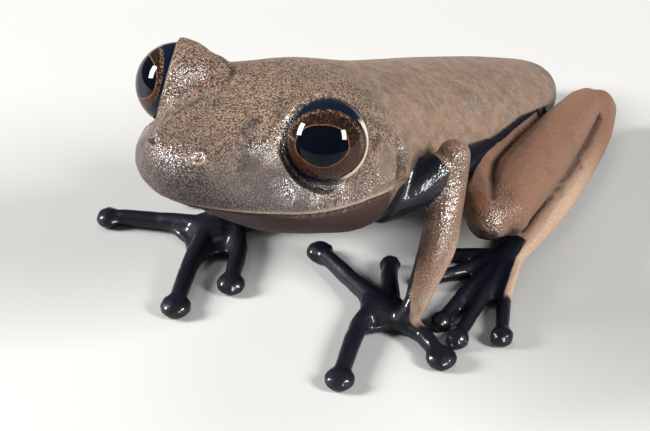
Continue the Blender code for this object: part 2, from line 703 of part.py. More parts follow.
def web(one, two, reach, group):
    """Skin between two digits, scooped at its free edge."""
    far_one = between(one[1], one[2], reach)
    far_two = between(two[1], two[2], reach)
    root = between(one[0], two[0], 0.5)
    edge = [between(far_one, far_two, t) for t in (0.25, 0.5, 0.75)]
    scoop = [between(p, root, d) for p, d in zip(edge, WEB_SCOOP)]
    outline = [one[0], one[1], far_one] + scoop + [far_two, two[1], two[0]]
    area = sum(a[0] * b[1] - b[0] * a[1] for a, b in zip(outline, outline[1:] + outline[:1]))
    if area < 0:
        outline = outline[::-1]
    return prism("web", outline, 0.28, 0.28 + WEB_THICKNESS, group)


def make_foot(name, tarsus, heel, toes, group):
    parts = [limb("tarsus", tarsus, group), ball("heel", heel[0], [heel[1]] * 3, group, 3)]
    for root, middle, tip, pad in toes:
        parts += digit(root, middle, tip, pad, TOE_HALF, TOE_HEIGHT, group)
    for a, b, reach in zip(toes, toes[1:], TOE_WEB_REACH):
        parts.append(web(a, b, reach, group))
    foot = join(name, parts, group)
    fuse(foot, DIGIT_CELL, DIGIT_SMOOTHING)
    rest_on_floor(foot)
    thin_out(foot, FOOT_TRIANGLES)
    rest_on_floor(foot)
    return foot


def simple_limb(name, knots, extra, triangles, group, grow=0.0):
    parts = [limb(name, knots, group, grow)]
    if extra:
        parts.append(ball("joint", extra[0], [extra[1] + grow] * 3, group, 3))
    thing = join(name, parts, group)
    fuse(thing, LIMB_CELL, LIMB_SMOOTHING)
    thin_out(thing, triangles)
    return thing


def finish(thing, name, group):
    """Keep the largest closed surface under its own name."""
    pieces = loose_parts(thing, group)
    pieces.sort(key=lambda p: -abs(volume(p)))
    for scrap in pieces[1:]:
        bpy.data.objects.remove(scrap, do_unlink=True)
    pieces[0].name = name
    pieces[0].data.name = name
    return pieces[0]


def part_digits(mass, digits, share, plates, seeds, prefix, word, solids, cutters):
    """Part the digits from their hand or foot, then name every piece."""
    for number, (root, middle, tip, pad) in enumerate(digits, 1):
        spot = between(middle, tip, share[number - 1])
        reach = Vector((tip[0] - middle[0], tip[1] - middle[1], 0)).normalized()
        plates.append(plate("cut_%s_%d" % (prefix, number), (spot[0], spot[1], CUT_HEIGHT), reach,
                            CUT_RADIUS, GAP, cutters))
        seeds.append(("%s_%d_%s" % (prefix, number, word), (tip[0], tip[1], 0.9)))
    for cutter in plates:
        boolean(mass, cutter)
    return name_pieces(loose_parts(mass, solids), seeds)


def paint(thing, colour, roughness):
    material = bpy.data.materials.new(thing.name)
    material.use_nodes = True
    shader = material.node_tree.nodes["Principled BSDF"]
    shader.inputs["Base Color"].default_value = colour
    shader.inputs["Roughness"].default_value = roughness
    shader.inputs["Metallic"].default_value = 0.0
    thing.data.materials.clear()
    thing.data.materials.append(material)


def side_limbs(side, word, body, solids, cutters):
    left = side > 0
    forearm_knots = FOREARM_LEFT if left else FOREARM_RIGHT
    upper_knots = UPPER_ARM_LEFT if left else UPPER_ARM_RIGHT
    thigh_knots = THIGH_LEFT if left else THIGH_RIGHT
    shank_knots = SHANK_LEFT if left else SHANK_RIGHT
    tarsus_knots = TARSUS_LEFT if left else TARSUS_RIGHT
    knee = KNEE_LEFT if left else KNEE_RIGHT
    heel = HEEL_LEFT if left else HEEL_RIGHT
    fingers = FINGERS_LEFT if left else FINGERS_RIGHT
    toes = TOES_LEFT if left else TOES_RIGHT
    palm = PALM_LEFT if left else PALM_RIGHT

    arm = make_arm("arm_" + word, forearm_knots, palm, fingers, solids)
    foot = make_foot("leg_" + word, tarsus_knots, heel, toes, solids)
    upper = simple_limb("upper", upper_knots, None, UPPER_ARM_TRIANGLES, solids)
    thigh = simple_limb("thigh", thigh_knots, knee, THIGH_TRIANGLES, solids)
    shank = simple_limb("shank", shank_knots, None, SHANK_TRIANGLES, solids)
    arm_room = simple_limb("arm_room", forearm_knots, None, ROOM_TRIANGLES, cutters, FIT_GAP)
    upper_room = simple_limb("upper_room", upper_knots, None, ROOM_TRIANGLES, cutters, FIT_GAP)
    thigh_room = simple_limb("thigh_room", thigh_knots, knee, ROOM_TRIANGLES, cutters, FIT_GAP)
    shank_room = simple_limb("shank_room", shank_knots, None, ROOM_TRIANGLES, cutters, FIT_GAP)
    tarsus_room = simple_limb("tarsus_room", tarsus_knots, heel, ROOM_TRIANGLES, cutters, FIT_GAP)
    boolean(upper, arm_room)
    boolean(shank, thigh_room)
    boolean(shank, tarsus_room)
    for room in (arm_room, upper_room, thigh_room, shank_room):
        boolean(body, room)
    finish(upper, "upper_arm_" + word, solids)
    finish(thigh, "thigh_" + word, solids)
    finish(shank, "shank_" + word, solids)

    wrist = Vector(forearm_knots[-2][:3]).lerp(Vector(forearm_knots[-3][:3]), WRIST_SHARE)
    ankle = Vector(tarsus_knots[-2][:3])
    part_digits(arm, fingers, (0.05, 0.05, 0.05, 0.05),
                [plate("cut_wrist", wrist, wrist - Vector(forearm_knots[-3][:3]), 1.6, GAP,
                       cutters)],
                [("forearm_" + word, forearm_knots[1][:3]), ("hand_" + word, palm[0])],
                "finger", word, solids, cutters)
    part_digits(foot, toes, (0.15, 0.25, 0.3, 0.35, 0.2),
                [plate("cut_ankle", ankle, (0, 1, 0), 2.0, GAP, cutters)],
                [("tarsus_" + word, tarsus_knots[3][:3]), ("foot_" + word, (ankle.x, ankle.y - 1.5, 1.2))],
                "toe", word, solids, cutters)


def build():
    clear_scene()
    solids = new_collection("cocoa_frog")
    cutters = new_collection("cutters")
    body = make_body(solids)
    for side, word in ((1, "left"), (-1, "right")):
        side_limbs(side, word, body, solids, cutters)
    carve_head(body, cutters)
    top, low = Vector((0, -6.3, 19.5)), Vector((0, -10.9, 6.5))
    spine = (top - low).cross(Vector((1, 0, 0))).normalized()
    boolean(body, plate("cut_neck", (top + low) / 2, spine, 14, GAP, cutters))
    boolean(body, mouth_cutter(cutters))
    name_pieces(loose_parts(body, solids),
                [("head", head_point(0, 4, 0.4)), ("lower_jaw", head_point(0, 0, -7.8)),
                 ("torso", (0, 6.0, 12.0))])
    for side, word in ((1, "left"), (-1, "right")):
        eyeball(side, word, solids)
        drum_disc("tympanum_" + word, side, 0.0, solids)
    for thing in solids.objects:
        if thing.name.startswith("eye"):
            paint(thing, EYE_BLACK, EYE_ROUGHNESS)
        elif thing.name.startswith(("finger", "hand", "toe", "foot")):
            paint(thing, SKIN_DARK, WET_ROUGHNESS)
        elif thing.name == "lower_jaw":
            paint(thing, THROAT_GREY, SKIN_ROUGHNESS)
        else:
            paint(thing, SKIN_BROWN, SKIN_ROUGHNESS)
    to_metres = Matrix.Scale(0.001, 4) @ Matrix.Translation((-MIDDLE_X, -MIDDLE_Y, 0))
    for thing in list(solids.objects) + list(cutters.objects):
        thing.data.transform(to_metres)
    for thing in cutters.objects:
        thing.hide_render = True
        thing.display_type = "WIRE"


if __name__ == "__main__":
    build()
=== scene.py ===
"""Cocoa frog, life size: one seamless skin over the parted solids, two wet eyes, a studio."""

import math

import bpy
import numpy as np
from bpy.props import FloatProperty, FloatVectorProperty, IntProperty, PointerProperty
from bpy.types import Operator, Panel, PropertyGroup
from mathutils import Matrix, Vector
from mathutils.bvhtree import BVHTree


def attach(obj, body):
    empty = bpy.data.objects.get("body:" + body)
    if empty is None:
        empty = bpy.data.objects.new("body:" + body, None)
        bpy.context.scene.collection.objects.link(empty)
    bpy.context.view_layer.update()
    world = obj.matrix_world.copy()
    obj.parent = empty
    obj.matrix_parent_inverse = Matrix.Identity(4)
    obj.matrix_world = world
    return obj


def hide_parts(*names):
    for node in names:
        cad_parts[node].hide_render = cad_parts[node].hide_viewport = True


bl_info = {
    "name": "Cocoa frog",
    "version": (1, 0, 0),
    "blender": (4, 5, 0),
    "location": "3D View > Sidebar > Frog",
    "description": "Dresses the solids of a life-size cocoa frog and sets up its studio",
    "category": "Object",
}

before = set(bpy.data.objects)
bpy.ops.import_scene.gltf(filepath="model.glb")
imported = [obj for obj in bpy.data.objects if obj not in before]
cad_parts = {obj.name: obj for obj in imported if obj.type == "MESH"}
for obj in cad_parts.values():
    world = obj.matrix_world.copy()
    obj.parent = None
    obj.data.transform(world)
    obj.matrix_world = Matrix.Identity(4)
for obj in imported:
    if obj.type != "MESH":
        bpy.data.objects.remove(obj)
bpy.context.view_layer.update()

MM = 0.001

# Head: the middle between the eyes, and the pitch of the snout above level.
EYE_MIDDLE = Vector((0.9, -14.7, 18.67)) * MM
HEAD_PITCH = math.radians(16.8)

# Eyes: half distance apart, radius, axis of the lids and how far ahead their plane lies.
EYE_APART = 6.32 * MM
EYE_RADIUS = 2.92 * MM
LID_AXES = {1: Vector((0.75, -0.53, 0.40)), -1: Vector((-0.85, -0.46, 0.25))}
LID_AHEAD = {1: 0.1 * MM, -1: 0.6 * MM}
GAZE = {1: Vector((0.49, -0.745, 0.45)), -1: Vector((-0.53, -0.73, 0.43))}
# Middle and half size of pupil and iris, backward and upward from the gaze, in eye radii.
PUPIL = {1: (-0.05, -0.02, 0.61, 0.485), -1: (0.0, -0.03, 0.60, 0.50)}
IRIS = {1: (0.0, 0.0, 0.915, 0.815), -1: (0.14, -0.04, 0.87, 0.80)}

# Small forms of the head: sideways, forward and upward from the middle between the eyes.
NOSTRIL = Vector((1.84, 8.0, -1.15)) * MM
NOSTRIL_WAY = Vector((0.6, 0.35, 0.72))
DRUM = Vector((7.95, -5.6, -2.35)) * MM
DRUM_HALF = (1.05 * MM, 1.35 * MM)
# Sideways distances over which the shaping of the eardrums sets in.
DRUM_SIDE = (5.0 * MM, 6.0 * MM)
MOUTH_LINE = np.array(((12.0, -4.75), (8.0, -4.7), (5.5, -4.7), (2.5, -4.65), (-0.5, -4.5),
                       (-3.3, -4.35), (-6.2, -4.3))) * MM
# Forward distances between which the line of the mouth fades in, from its corner.
MOUTH_END = (-7.2 * MM, -5.6 * MM)

# Depths and heights of the forms pressed into the skin; a pair gives the left and the right side.
MOUTH_DEPTH = 0.24 * MM
LIP_BEAD = 0.07 * MM
DRUM_RING = 0.07 * MM
DRUM_DEPTH = 0.08 * MM
CHIN_REACH = 3.0 * MM
CHIN_LIFT = 0.55
# The same in millimetres.
NOSTRIL_DEPTH = {1: 0.32, -1: 0.22}
NOSTRIL_RIM = 0.09
BROW_DEPTH = {1: 0.04, -1: 0.16}
GROOVE_DEPTH = 0.12
LOREAL_DEPTH = 0.10
SHANK_DEPTH = 0.20
TARSUS_DEPTH = 0.12

# Rounds of smoothing for the facets of the solids, the lids, the knees and heels.
FACET_ROUNDS = 14
LID_ROUNDS = 14
JOINT_ROUNDS = 45

# Camera: angle round the frog, height above level, roll, aim, distance and focal length, which is
# the length in pixels times the sensor's width over the picture's width.
CAMERA_ANGLES = (35.65, 35.04, -0.44)
CAMERA_AIM = Vector((2.78, -8.65, 7.31)) * MM
CAMERA_DISTANCE = 177.5 * MM
SENSOR_WIDTH = 36
CAMERA_LENS = 2458.9 * SENSOR_WIDTH / 650

# Lights: direction in camera terms, distance, width and height.
LIGHTS = {"key": ((-0.875, 0.424, 0.232), 0.42, 0.11, 0.19),
          "fill": ((0.735, 0.244, 0.63), 0.42, 0.09, 0.17),
          "top": ((-0.1, 0.95, 0.25), 0.5, 0.3, 0.3),
          "glint": ((0.40, -0.30, 0.845), 0.42, 0.12, 0.20)}
# Collection of what the glint light shines on.
GLINT_RECEIVERS = "damp_skin"

# Rim of the lids: how far it lies from the middle of the eye, and its thickness.
LID_RIM = 3.06 * MM
LID_HALF = 0.16 * MM
PLUG_RADIUS = 2.75 * MM

# Height below which the flanks and chest are blue-black, partly their colour and partly painted shade,
# along the body.
FLANK_EDGE = np.array(((-14, 10.5), (-8, 11.6), (-4, 10.4), (-1, 9.9), (3.2, 8.97), (4.6, 8.5), (6, 7.98),
                       (8.7, 7.35), (11.9, 6.5), (16, 4.85), (20.4, 2.8), (24, 1.8))) * MM
# Inner edge of the brown of the left thigh, sideways by length; the side next to it is blue-black, partly
# painted shade.
THIGH_EDGE = np.array(((-2, 9.9), (1.0, 8.95), (3.4, 8.3), (6, 7.8), (8, 7.4), (10.2, 6.5), (13.3, 5.9),
                       (16.7, 5.2), (21, 4.2))) * MM
# Creases of the legs, left then right, deepened and painted with shade: shank on thigh and body, and
# tarsus on shank.
SHANK_CREASES = (((6.17, 17.06, 4.0), (6.73, 14.16, 4.99), (7.09, 12.12, 5.46), (7.42, 10.33, 5.8),
                  (7.73, 8.94, 5.93), (8.13, 7.13, 6.34), (8.55, 5.43, 6.7), (9.09, 4.14, 6.9),
                  (9.66, 3.02, 7.02), (10.33, 2.02, 7.12), (11.0, 1.0, 7.25), (11.6, 0.1, 7.45)),
                 ((-3.95, 18.6, 3.0), (-4.58, 16.6, 3.6), (-4.95, 15.0, 3.8), (-5.4, 12.1, 4.0),
                  (-6.05, 10.2, 4.55), (-6.65, 8.6, 4.9), (-7.3, 7.0, 5.35), (-8.0, 5.35, 5.8),
                  (-8.6, 3.97, 6.1), (-9.45, 2.35, 6.6), (-10.2, 1.4, 6.7), (-11.0, 0.9, 6.6)))
TARSUS_CREASES = (((9.4, 19.7, 3.4), (9.87, 17.99, 3.36), (10.19, 16.91, 3.31), (10.5, 15.76, 3.29),
                   (10.76, 14.56, 3.29), (10.97, 13.44, 3.24), (11.17, 12.28, 3.21), (11.4, 11.15, 3.18),
                   (11.55, 10.0, 3.14), (11.57, 8.86, 3.04), (11.57, 8.0, 2.79), (11.56, 7.09, 2.57),
                   (11.66, 6.08, 2.44), (11.75, 5.14, 2.29), (11.77, 4.2, 2.1)),
                  ((-5.48, 20.1, 2.05), (-6.03, 19.15, 1.98), (-6.95, 17.0, 1.98), (-7.89, 14.7, 2.05),
                   (-8.78, 12.4, 2.19), (-9.43, 10.2, 2.18), (-9.77, 9.0, 2.2), (-9.83, 8.3, 1.9)))
# Brown strip of the left thigh that shows between flank and shank.
THIGH_STRIP = ((8.83, 2.52, 7.24), (8.12, 5.06, 6.92), (7.69, 7.31, 6.53), (7.28, 9.87, 6.09),
               (6.8, 12.91, 5.3), (6.4, 14.9, 4.7))
# Places where a step between two solids is smoothed away, and radius: knees, then heels.
JOINTS = (((12.0, 0.6, 5.8), 3.3), ((-10.2, 0.6, 5.8), 3.3), ((8.5, 21.2, 4.0), 2.3),
          ((-4.6, 21.0, 2.4), 2.3))
# Small marks of the left leg and the right brow: place, radius.
MARKS = (((11.6, 13.1, 2.9), 0.17),)
EMBERS = (((10.9, -0.6, 7.3), 0.42), ((-2.47, -15.18, 20.28), 0.13))
# Brown tongues that run from the forearm and the tarsus onto the outer finger and toe, and widths.
TONGUES = ((((10.3, -6.6, 5.0), (11.0, -8.4, 3.2), (11.3, -9.0, 1.9), (12.7, -9.5, 1.4)), 0.75),
           (((13.3, 6.4, 1.6), (13.2, 3.3, 1.5), (13.3, 2.0, 1.3), (14.4, -1.2, 1.0),
             (15.1, -3.4, 1.0)), 0.6),
           (((-12.0, 6.5, 1.7), (-12.2, 3.6, 1.4), (-13.4, 0.8, 1.1)), 0.6))
ELBOWS = {1: ((9.6, -2.3, 11.65), (-0.3, -0.85, -0.45)), -1: ((-8.1, -1.9, 11.3), (0.3, -0.85, -0.45))}
# Fold behind each brow, pressed in and painted with shade, seen from above on the right side.
BROW_FOLD = ((-3.4, -12.2, 20.2), (-2.59, -12.21, 19.87), (-2.11, -12.61, 19.91),
             (-1.69, -13.39, 20.05), (-1.36, -14.16, 20.16), (-1.43, -14.97, 20.22),
             (-1.83, -15.56, 20.22), (-2.6, -15.9, 20.2))
# Groove under each eye, pressed in and dark with painted shade, and hollow in front of it, seen on the
# left side.
EYE_GROOVE = ((5.5, -17.6, 18.6), (5.7, -17.48, 18.08), (6.2, -17.39, 17.26), (6.79, -17.08, 16.59),
              (7.53, -16.4, 16.09), (8.2, -15.6, 15.9), (8.69, -14.78, 16.05))
LOREAL = ((3.29, -16.51, 20.25), (3.88, -17.76, 20.1), (4.44, -18.96, 19.85), (4.69, -19.64, 19.28),
          (4.76, -20.21, 18.59))
# Wet patches, and slate patches that are partly painted shade on the sides and front of the snout: place
# on the left side and radius.
WET = (((0.7, -23.1, 19.9), 1.2), ((2.1, -22.2, 20.2), 0.9), ((4.7, -18.4, 19.8), 0.8),
       ((5.3, -18.2, 18.8), 0.7), ((7.1, -18.6, 16.8), 0.8), ((8.2, -16.9, 16.1), 0.9),
       ((9.0, -14.8, 15.4), 1.0), ((9.3, -12.4, 14.7), 1.0), ((9.4, -10.7, 14.3), 0.9),
       ((9.0, -7.9, 15.4), 1.0), ((5.6, 8.3, 9.5), 0.7), ((5.8, 6.6, 10.2), 0.8), ((6.0, 5.0, 10.8), 0.7),
       ((10.4, -3.2, 11.2), 1.6), ((10.5, -3.6, 10.0), 1.6), ((10.4, -4.1, 9.1), 1.6),
       ((10.6, -4.8, 7.9), 1.2), ((12.4, -1.6, 6.1), 1.0), ((12.9, -1.0, 5.9), 0.9),
       ((11.7, 1.6, 7.3), 1.1), ((5.5, -16.4, 20.9), 0.9), ((5.3, -17.3, 19.8), 0.8),
       ((4.6, -19.0, 19.7), 0.6), ((4.4, -17.3, 20.0), 0.7), ((4.6, -15.1, 20.7), 0.8))
SLATE_AND_SHADE = (((1.7, -24.0, 18.5), 1.2), ((0.8, -23.9, 18.8), 0.9), ((2.8, -23.6, 18.4), 1.0),
         ((3.3, -17.9, 20.2), 0.45), ((3.4, -18.7, 20.1), 0.5), ((4.5, -19.5, 19.7), 0.55),
         ((4.6, -20.0, 19.2), 0.6), ((4.9, -19.9, 18.5), 0.7), ((4.6, -20.6, 18.6), 0.7),
         ((6.1, -19.0, 17.6), 0.9), ((6.7, -18.7, 17.1), 0.8), ((6.3, -17.6, 17.2), 0.9),
         ((3.2, -17.2, 20.2), 0.45), ((6.4, -20.2, 16.5), 0.8), ((4.6, -22.2, 17.4), 0.8))

# Fronts of the knees, where granules show.
KNEE_FRONTS = ((12.0, -1.0, 6.0), (-10.2, -1.0, 6.0))

BLACK_NODES = ("hand", "finger", "foot", "toe")


# Settings that a user would change

def tint(name, description, *default):
    return FloatVectorProperty(name=name, description=description, default=default, subtype="COLOR")


def length(name, description, default):
    return FloatProperty(name=name, description=description, default=default, unit="LENGTH", precision=6)


def watts(name, description, default):
    return FloatProperty(name=name, description=description, default=default, subtype="POWER")


class SkinSettings(PropertyGroup):
    """Sizes and colours of the skin"""

    seam: length("Seam closing", "How far each solid grows to meet the next", 0.17 * MM)
    cell: length("Cell", "Cell of the melted surface", 0.145 * MM)
    triangles: IntProperty(name="Triangles", description="Triangles of the finished skin",
                           default=190000)
    granule: length("Granule", "Width of one skin granule", 0.14 * MM)
    brown: tint("Brown", "Darker ground of the back and head", 0.150, 0.100, 0.070)
    taupe: tint("Taupe", "Lighter ground of the back and head", 0.240, 0.170, 0.124)
    rose: tint("Rose", "Reddish clouds on the back and head", 0.225, 0.138, 0.098)
    copper: tint("Copper", "Ground of the legs and forearms", 0.175, 0.092, 0.059)
    tan: tint("Tan", "Light granules and pale edges", 0.44, 0.31, 0.22)
    umber: tint("Umber", "Gaps between the granules", 0.026, 0.018, 0.014)
    # Slate also paints the shade low on the head and on the snout.
    slate: tint("Slate", "Grey-blue patches", 0.034, 0.034, 0.042)
    # Black also paints the shade on flanks, chest, arms, legs, lid edges and creases.
    black: tint("Black", "Hands, feet and flanks", 0.0030, 0.0034, 0.0068)
    # Rim also paints the highlight round the left nostril.
    rim: tint("Rim", "Edge of the upper lip and of the left nostril", 0.50, 0.37, 0.28)
    ember: tint("Ember", "Small orange marks", 0.36, 0.075, 0.016)
    # Throat colour, darkened to paint the shade under the head.
    throat_and_shade: tint("Plum", "Throat", 0.022, 0.009, 0.008)


class EyeSettings(PropertyGroup):
    """Colours of the eyes"""

    rust: tint("Rust", "Lower iris", 0.034, 0.012, 0.006)
    peat: tint("Peat", "Upper iris", 0.013, 0.0065, 0.0042)
    fleck: tint("Fleck", "Light flecks of the iris", 0.16, 0.098, 0.060)
    gold: tint("Gold", "Edge of the pupil", 0.15, 0.062, 0.028)
    night: tint("Night", "Pupil", 0.0012, 0.0020, 0.0045)
    navy: tint("Navy", "Band outside the iris", 0.0030, 0.0055, 0.0120)
    cream: tint("Cream", "Rear edge of the eyeball", 0.50, 0.38, 0.27)


class StudioSettings(PropertyGroup):
    """Floor and light"""

    floor: tint("Floor", "Colour of the floor", 0.36, 0.355, 0.345)
    room: FloatProperty(name="Room light", description="Strength of the light all round",
                        default=0.10)
    key: watts("Key", "Power of the light at the left", 5.0)
    fill: watts("Fill", "Power of the light at the right", 3.4)
    top: watts("Top", "Power of the light above", 0.8)
    glint: watts("Glint", "Power of the light that only the skin mirrors", 2.6)


# Working with pieces

def select_only(*pieces):
    bpy.ops.object.select_all(action="DESELECT")
    for piece in pieces:
        piece.select_set(True)
    bpy.context.view_layer.objects.active = pieces[0]


def modify(piece, kind, **values):
    """Add a modifier with these values and apply it."""
    select_only(piece)
    modifier = piece.modifiers.new(kind.lower(), kind)
    for name, value in values.items():
        setattr(modifier, name, value)
    bpy.ops.object.modifier_apply(modifier=modifier.name)


def points_of(mesh):
    found = np.empty(len(mesh.vertices) * 3)
    mesh.vertices.foreach_get("co", found)
    return found.reshape(-1, 3)


def put_points(mesh, points):
    mesh.vertices.foreach_set("co", points.ravel())
    mesh.update()


def normals_of(mesh):
    found = np.empty(len(mesh.vertices) * 3)
    mesh.vertex_normals.foreach_get("vector", found)
    return found.reshape(-1, 3)


def edges_of(mesh):
    found = np.empty(len(mesh.edges) * 2, dtype=np.int64)
    mesh.edges.foreach_get("vertices", found)
    return found.reshape(-1, 2)


class Web:
    """Mean of each vertex's neighbours, for smoothing shapes and masks."""

    def __init__(self, mesh):
        self.edges = edges_of(mesh)
        self.count = len(mesh.vertices)
        self.degree = np.maximum(np.bincount(self.edges.ravel(), minlength=self.count), 1)

    def mean(self, values):
        a, b = self.edges[:, 0], self.edges[:, 1]
        total = (np.bincount(a, values[b], self.count) + np.bincount(b, values[a], self.count))
        return total / self.degree

    def relax(self, points, share):
        around = np.stack([self.mean(points[:, i]) for i in range(3)], axis=1)
        return points + (around - points) * np.reshape(share, (-1, 1))

    def blur(self, mask, rounds):
        for _ in range(rounds):
            mask = 0.5 * mask + 0.5 * self.mean(mask)
        return mask


def bump_of(distance, width):
    """Smooth hill of height one and this half width."""
    return np.exp(-(distance / width) ** 2)


def step_of(value, low, high):
    """Smooth rise from zero at low to one at high."""
    t = np.clip((value - low) / (high - low), 0.0, 1.0)
    return t * t * (3 - 2 * t)


def head_terms(points):
    """Sideways, forward and upward distances from the middle between the eyes."""
    rel = points - np.array(EYE_MIDDLE)
    cos, sin = math.cos(HEAD_PITCH), math.sin(HEAD_PITCH)
    return np.stack([rel[:, 0], -rel[:, 1] * cos + rel[:, 2] * sin,
                     rel[:, 1] * sin + rel[:, 2] * cos], axis=1)


def head_way(vector):
    """World direction of a direction in head terms."""
    cos, sin = math.cos(HEAD_PITCH), math.sin(HEAD_PITCH)
    x, ahead, above = vector
    return np.array((x, -ahead * cos + above * sin, ahead * sin + above * cos))


def eye_centre(side):
    return EYE_MIDDLE + Vector((side * EYE_APART, 0, 0))


def mirrored(place):
    """The same place on the other side of the head, in millimetres."""
    return (2 * EYE_MIDDLE.x / MM - place[0], place[1], place[2])


def distance_to_line(points, line):
    """Distance of points to a broken line through places in millimetres."""
    best = np.full(len(points), 1e9)
    line = np.array(line) * MM
    for start, end in zip(line[:-1], line[1:]):
        run = end - start
        share = np.clip((points - start) @ run / (run @ run), 0, 1)
        best = np.minimum(best, np.linalg.norm(points - start - share[:, None] * run, axis=1))
    return best


def hollow_of(points, normals, web, rounds=30):
    """How far the surface lies below its own smoothed shape."""
    far = points
    for _ in range(rounds):
        far = web.relax(far, 0.8)
    return np.einsum("ij,ij->i", far - points, normals)


def near_lines(points, lines, width):
    """One along these lines, fading over this width."""
    return np.maximum.reduce([bump_of(distance_to_line(points, line), width * MM) for line in lines])


def line_distance(a, b, line):
    """Distance of points (a, b) to a broken line in a plane."""
    best = np.full(len(a), 1e9)
    for (a0, b0), (a1, b1) in zip(line[:-1], line[1:]):
        run = np.array((a1 - a0, b1 - b0))
        share = np.clip(((a - a0) * run[0] + (b - b0) * run[1]) / (run @ run), 0, 1)
        best = np.minimum(best, np.hypot(a - a0 - share * run[0], b - b0 - share * run[1]))
    return best


def mouth_level(head):
    """Height of the line of the mouth at each point, in head terms."""
    return np.interp(head[:, 1], MOUTH_LINE[::-1, 0], MOUTH_LINE[::-1, 1])


def drum_ring(head):
    """Distance from the middle of the eardrum in half sizes, seen from the side."""
    return np.hypot((head[:, 1] - DRUM.y) / DRUM_HALF[0], (head[:, 2] - DRUM.z) / DRUM_HALF[1])


def on_side(line, side, seen=1):
    """A line on this side of the head, given the side it was seen on."""
    return line if side == seen else [mirrored(place) for place in line]


# Shape of the skin

def flesh_nodes():
    return [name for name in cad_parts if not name.startswith("eye")]


def lid_forms():
    """For each eye a ring for the edge of its lids, and a ball that closes the socket behind it."""
    made = []
    for side in (1, -1):
        axis = LID_AXES[side].normalized()
        turn = Vector((0, 0, 1)).rotation_difference(axis).to_matrix().to_4x4()
        bpy.ops.object.select_all(action="DESELECT")
        bpy.ops.mesh.primitive_torus_add(major_radius=math.sqrt(LID_RIM ** 2 - LID_AHEAD[side] ** 2),
                                         minor_radius=LID_HALF, major_segments=96, minor_segments=16)
        ring = bpy.context.view_layer.objects.active
        ring.data.transform(Matrix.Translation(eye_centre(side) + axis * LID_AHEAD[side]) @ turn)
        bpy.ops.object.select_all(action="DESELECT")
        bpy.ops.mesh.primitive_ico_sphere_add(subdivisions=4, radius=PLUG_RADIUS)
        ball = bpy.context.view_layer.objects.active
        ball.data.transform(Matrix.Translation(eye_centre(side)))
        made += [ring, ball]
    return made


def melted_flesh(settings):
    """Copies of the flesh solids, grown until they meet, melted into one closed surface."""
    copies = lid_forms()
    for name in flesh_nodes():
        piece = bpy.data.objects.new("flesh_" + name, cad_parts[name].data.copy())
        bpy.context.collection.objects.link(piece)
        copies.append(piece)
    select_only(*reversed(copies))
    bpy.ops.object.join()
    skin = bpy.context.view_layer.objects.active
    skin.name = "skin"
    skin.data.materials.clear()
    bpy.ops.object.mode_set(mode="EDIT")
    bpy.ops.mesh.select_all(action="SELECT")
    bpy.ops.mesh.remove_doubles(threshold=1e-6)
    bpy.ops.object.mode_set(mode="OBJECT")
    modify(skin, "DISPLACE", strength=settings.seam, mid_level=0.0)
    modify(skin, "REMESH", mode="VOXEL", voxel_size=settings.cell)
    return skin


def even_out(skin, settings):
    """Take the facets of the solids away without shrinking, then take the growth back."""
    web = Web(skin.data)
    points = points_of(skin.data)
    for _ in range(FACET_ROUNDS):
        points = web.relax(points, 0.5)
        points = web.relax(points, -0.52)
    put_points(skin.data, points)
    points = points - normals_of(skin.data) * settings.seam
    points = web.relax(points, 0.3)
    return web, points


def lid_terms(points, side):
    """Height over the plane of the lids and distance from the axis of the eye."""
    axis = np.array(LID_AXES[side].normalized())
    rel = points - np.array(eye_centre(side))
    along = rel @ axis
    return along - LID_AHEAD[side], np.linalg.norm(rel - np.outer(along, axis), axis=1)


def soften_lids(points, web):
    """Round the outer corner of each lid."""
    for side in (1, -1):
        height, across = lid_terms(points, side)
        share = bump_of(height, 0.5 * MM) * step_of(across, 3.1 * MM, 3.3 * MM)
        share *= step_of(across, 4.4 * MM, 3.9 * MM)
        for _ in range(LID_ROUNDS):
            points = web.relax(points, 0.5 * share)
    return points


def soften_joints(points, web):
    """Smooth the steps between the solids at knee and heel away."""
    share = np.zeros(len(points))
    for place, radius in JOINTS:
        away = np.linalg.norm(points - np.array(place) * MM, axis=1)
        share = np.maximum(share, step_of(away, radius * MM, 0.7 * radius * MM))
    for _ in range(JOINT_ROUNDS):
        points = web.relax(points, 0.6 * share)
        points = web.relax(points, -0.5 * share)
        points = web.relax(points, 0.15 * share)
    return points


def tuck_chin(points):
    """Draw the front of the lower jaw up towards the line of the mouth."""
    head = head_terms(points)
    level = mouth_level(head)
    below = np.clip(level - head[:, 2], 0.0, CHIN_REACH)
    lift = below * CHIN_LIFT * step_of(head[:, 1], 1.5 * MM, 6.5 * MM)
    return points + np.outer(lift, head_way((0.0, -0.25, 1.0)))


def groove_share(points, groove, width):
    """Share of the groove under an eye, fainter towards the rear."""
    front = bump_of(distance_to_line(points, groove[:5]), width * MM)
    return np.maximum(front, 0.35 * bump_of(distance_to_line(points, groove[4:]), width * MM))


def shape_folds(points, normals):
    """Press in the fold behind each brow, the groove under each eye and the hollow before it."""
    for side in (1, -1):
        fold = distance_to_line(points, on_side(BROW_FOLD, side, -1))
        press = BROW_DEPTH[side] * bump_of(fold, 0.22 * MM)
        press += GROOVE_DEPTH * groove_share(points, on_side(EYE_GROOVE, side), 0.28)
        press += LOREAL_DEPTH * bump_of(distance_to_line(points, on_side(LOREAL, side)), 0.5 * MM)
        points = points - normals * (press * MM)[:, None]
    return points


def shape_creases(points, normals):
    """Deepen the creases where thigh, shank and tarsus press on each other."""
    depth = SHANK_DEPTH * near_lines(points, SHANK_CREASES, 0.22)
    depth = depth + TARSUS_DEPTH * near_lines(points, TARSUS_CREASES, 0.2)
    return points - normals * (depth * MM)[:, None]


def shape_mouth(points, normals):
    """Press in the line of the mouth, with a soft bead of lip above it."""
    head = head_terms(points)
    away = line_distance(head[:, 1], head[:, 2], MOUTH_LINE)
    level = mouth_level(head)
    above = head[:, 2] - level
    fade = step_of(head[:, 1], *MOUTH_END)
    groove = -MOUTH_DEPTH * bump_of(away, 0.10 * MM)
    lip = LIP_BEAD * bump_of(above - 0.34 * MM, 0.24 * MM)
    return points + normals * ((groove + lip) * fade)[:, None]


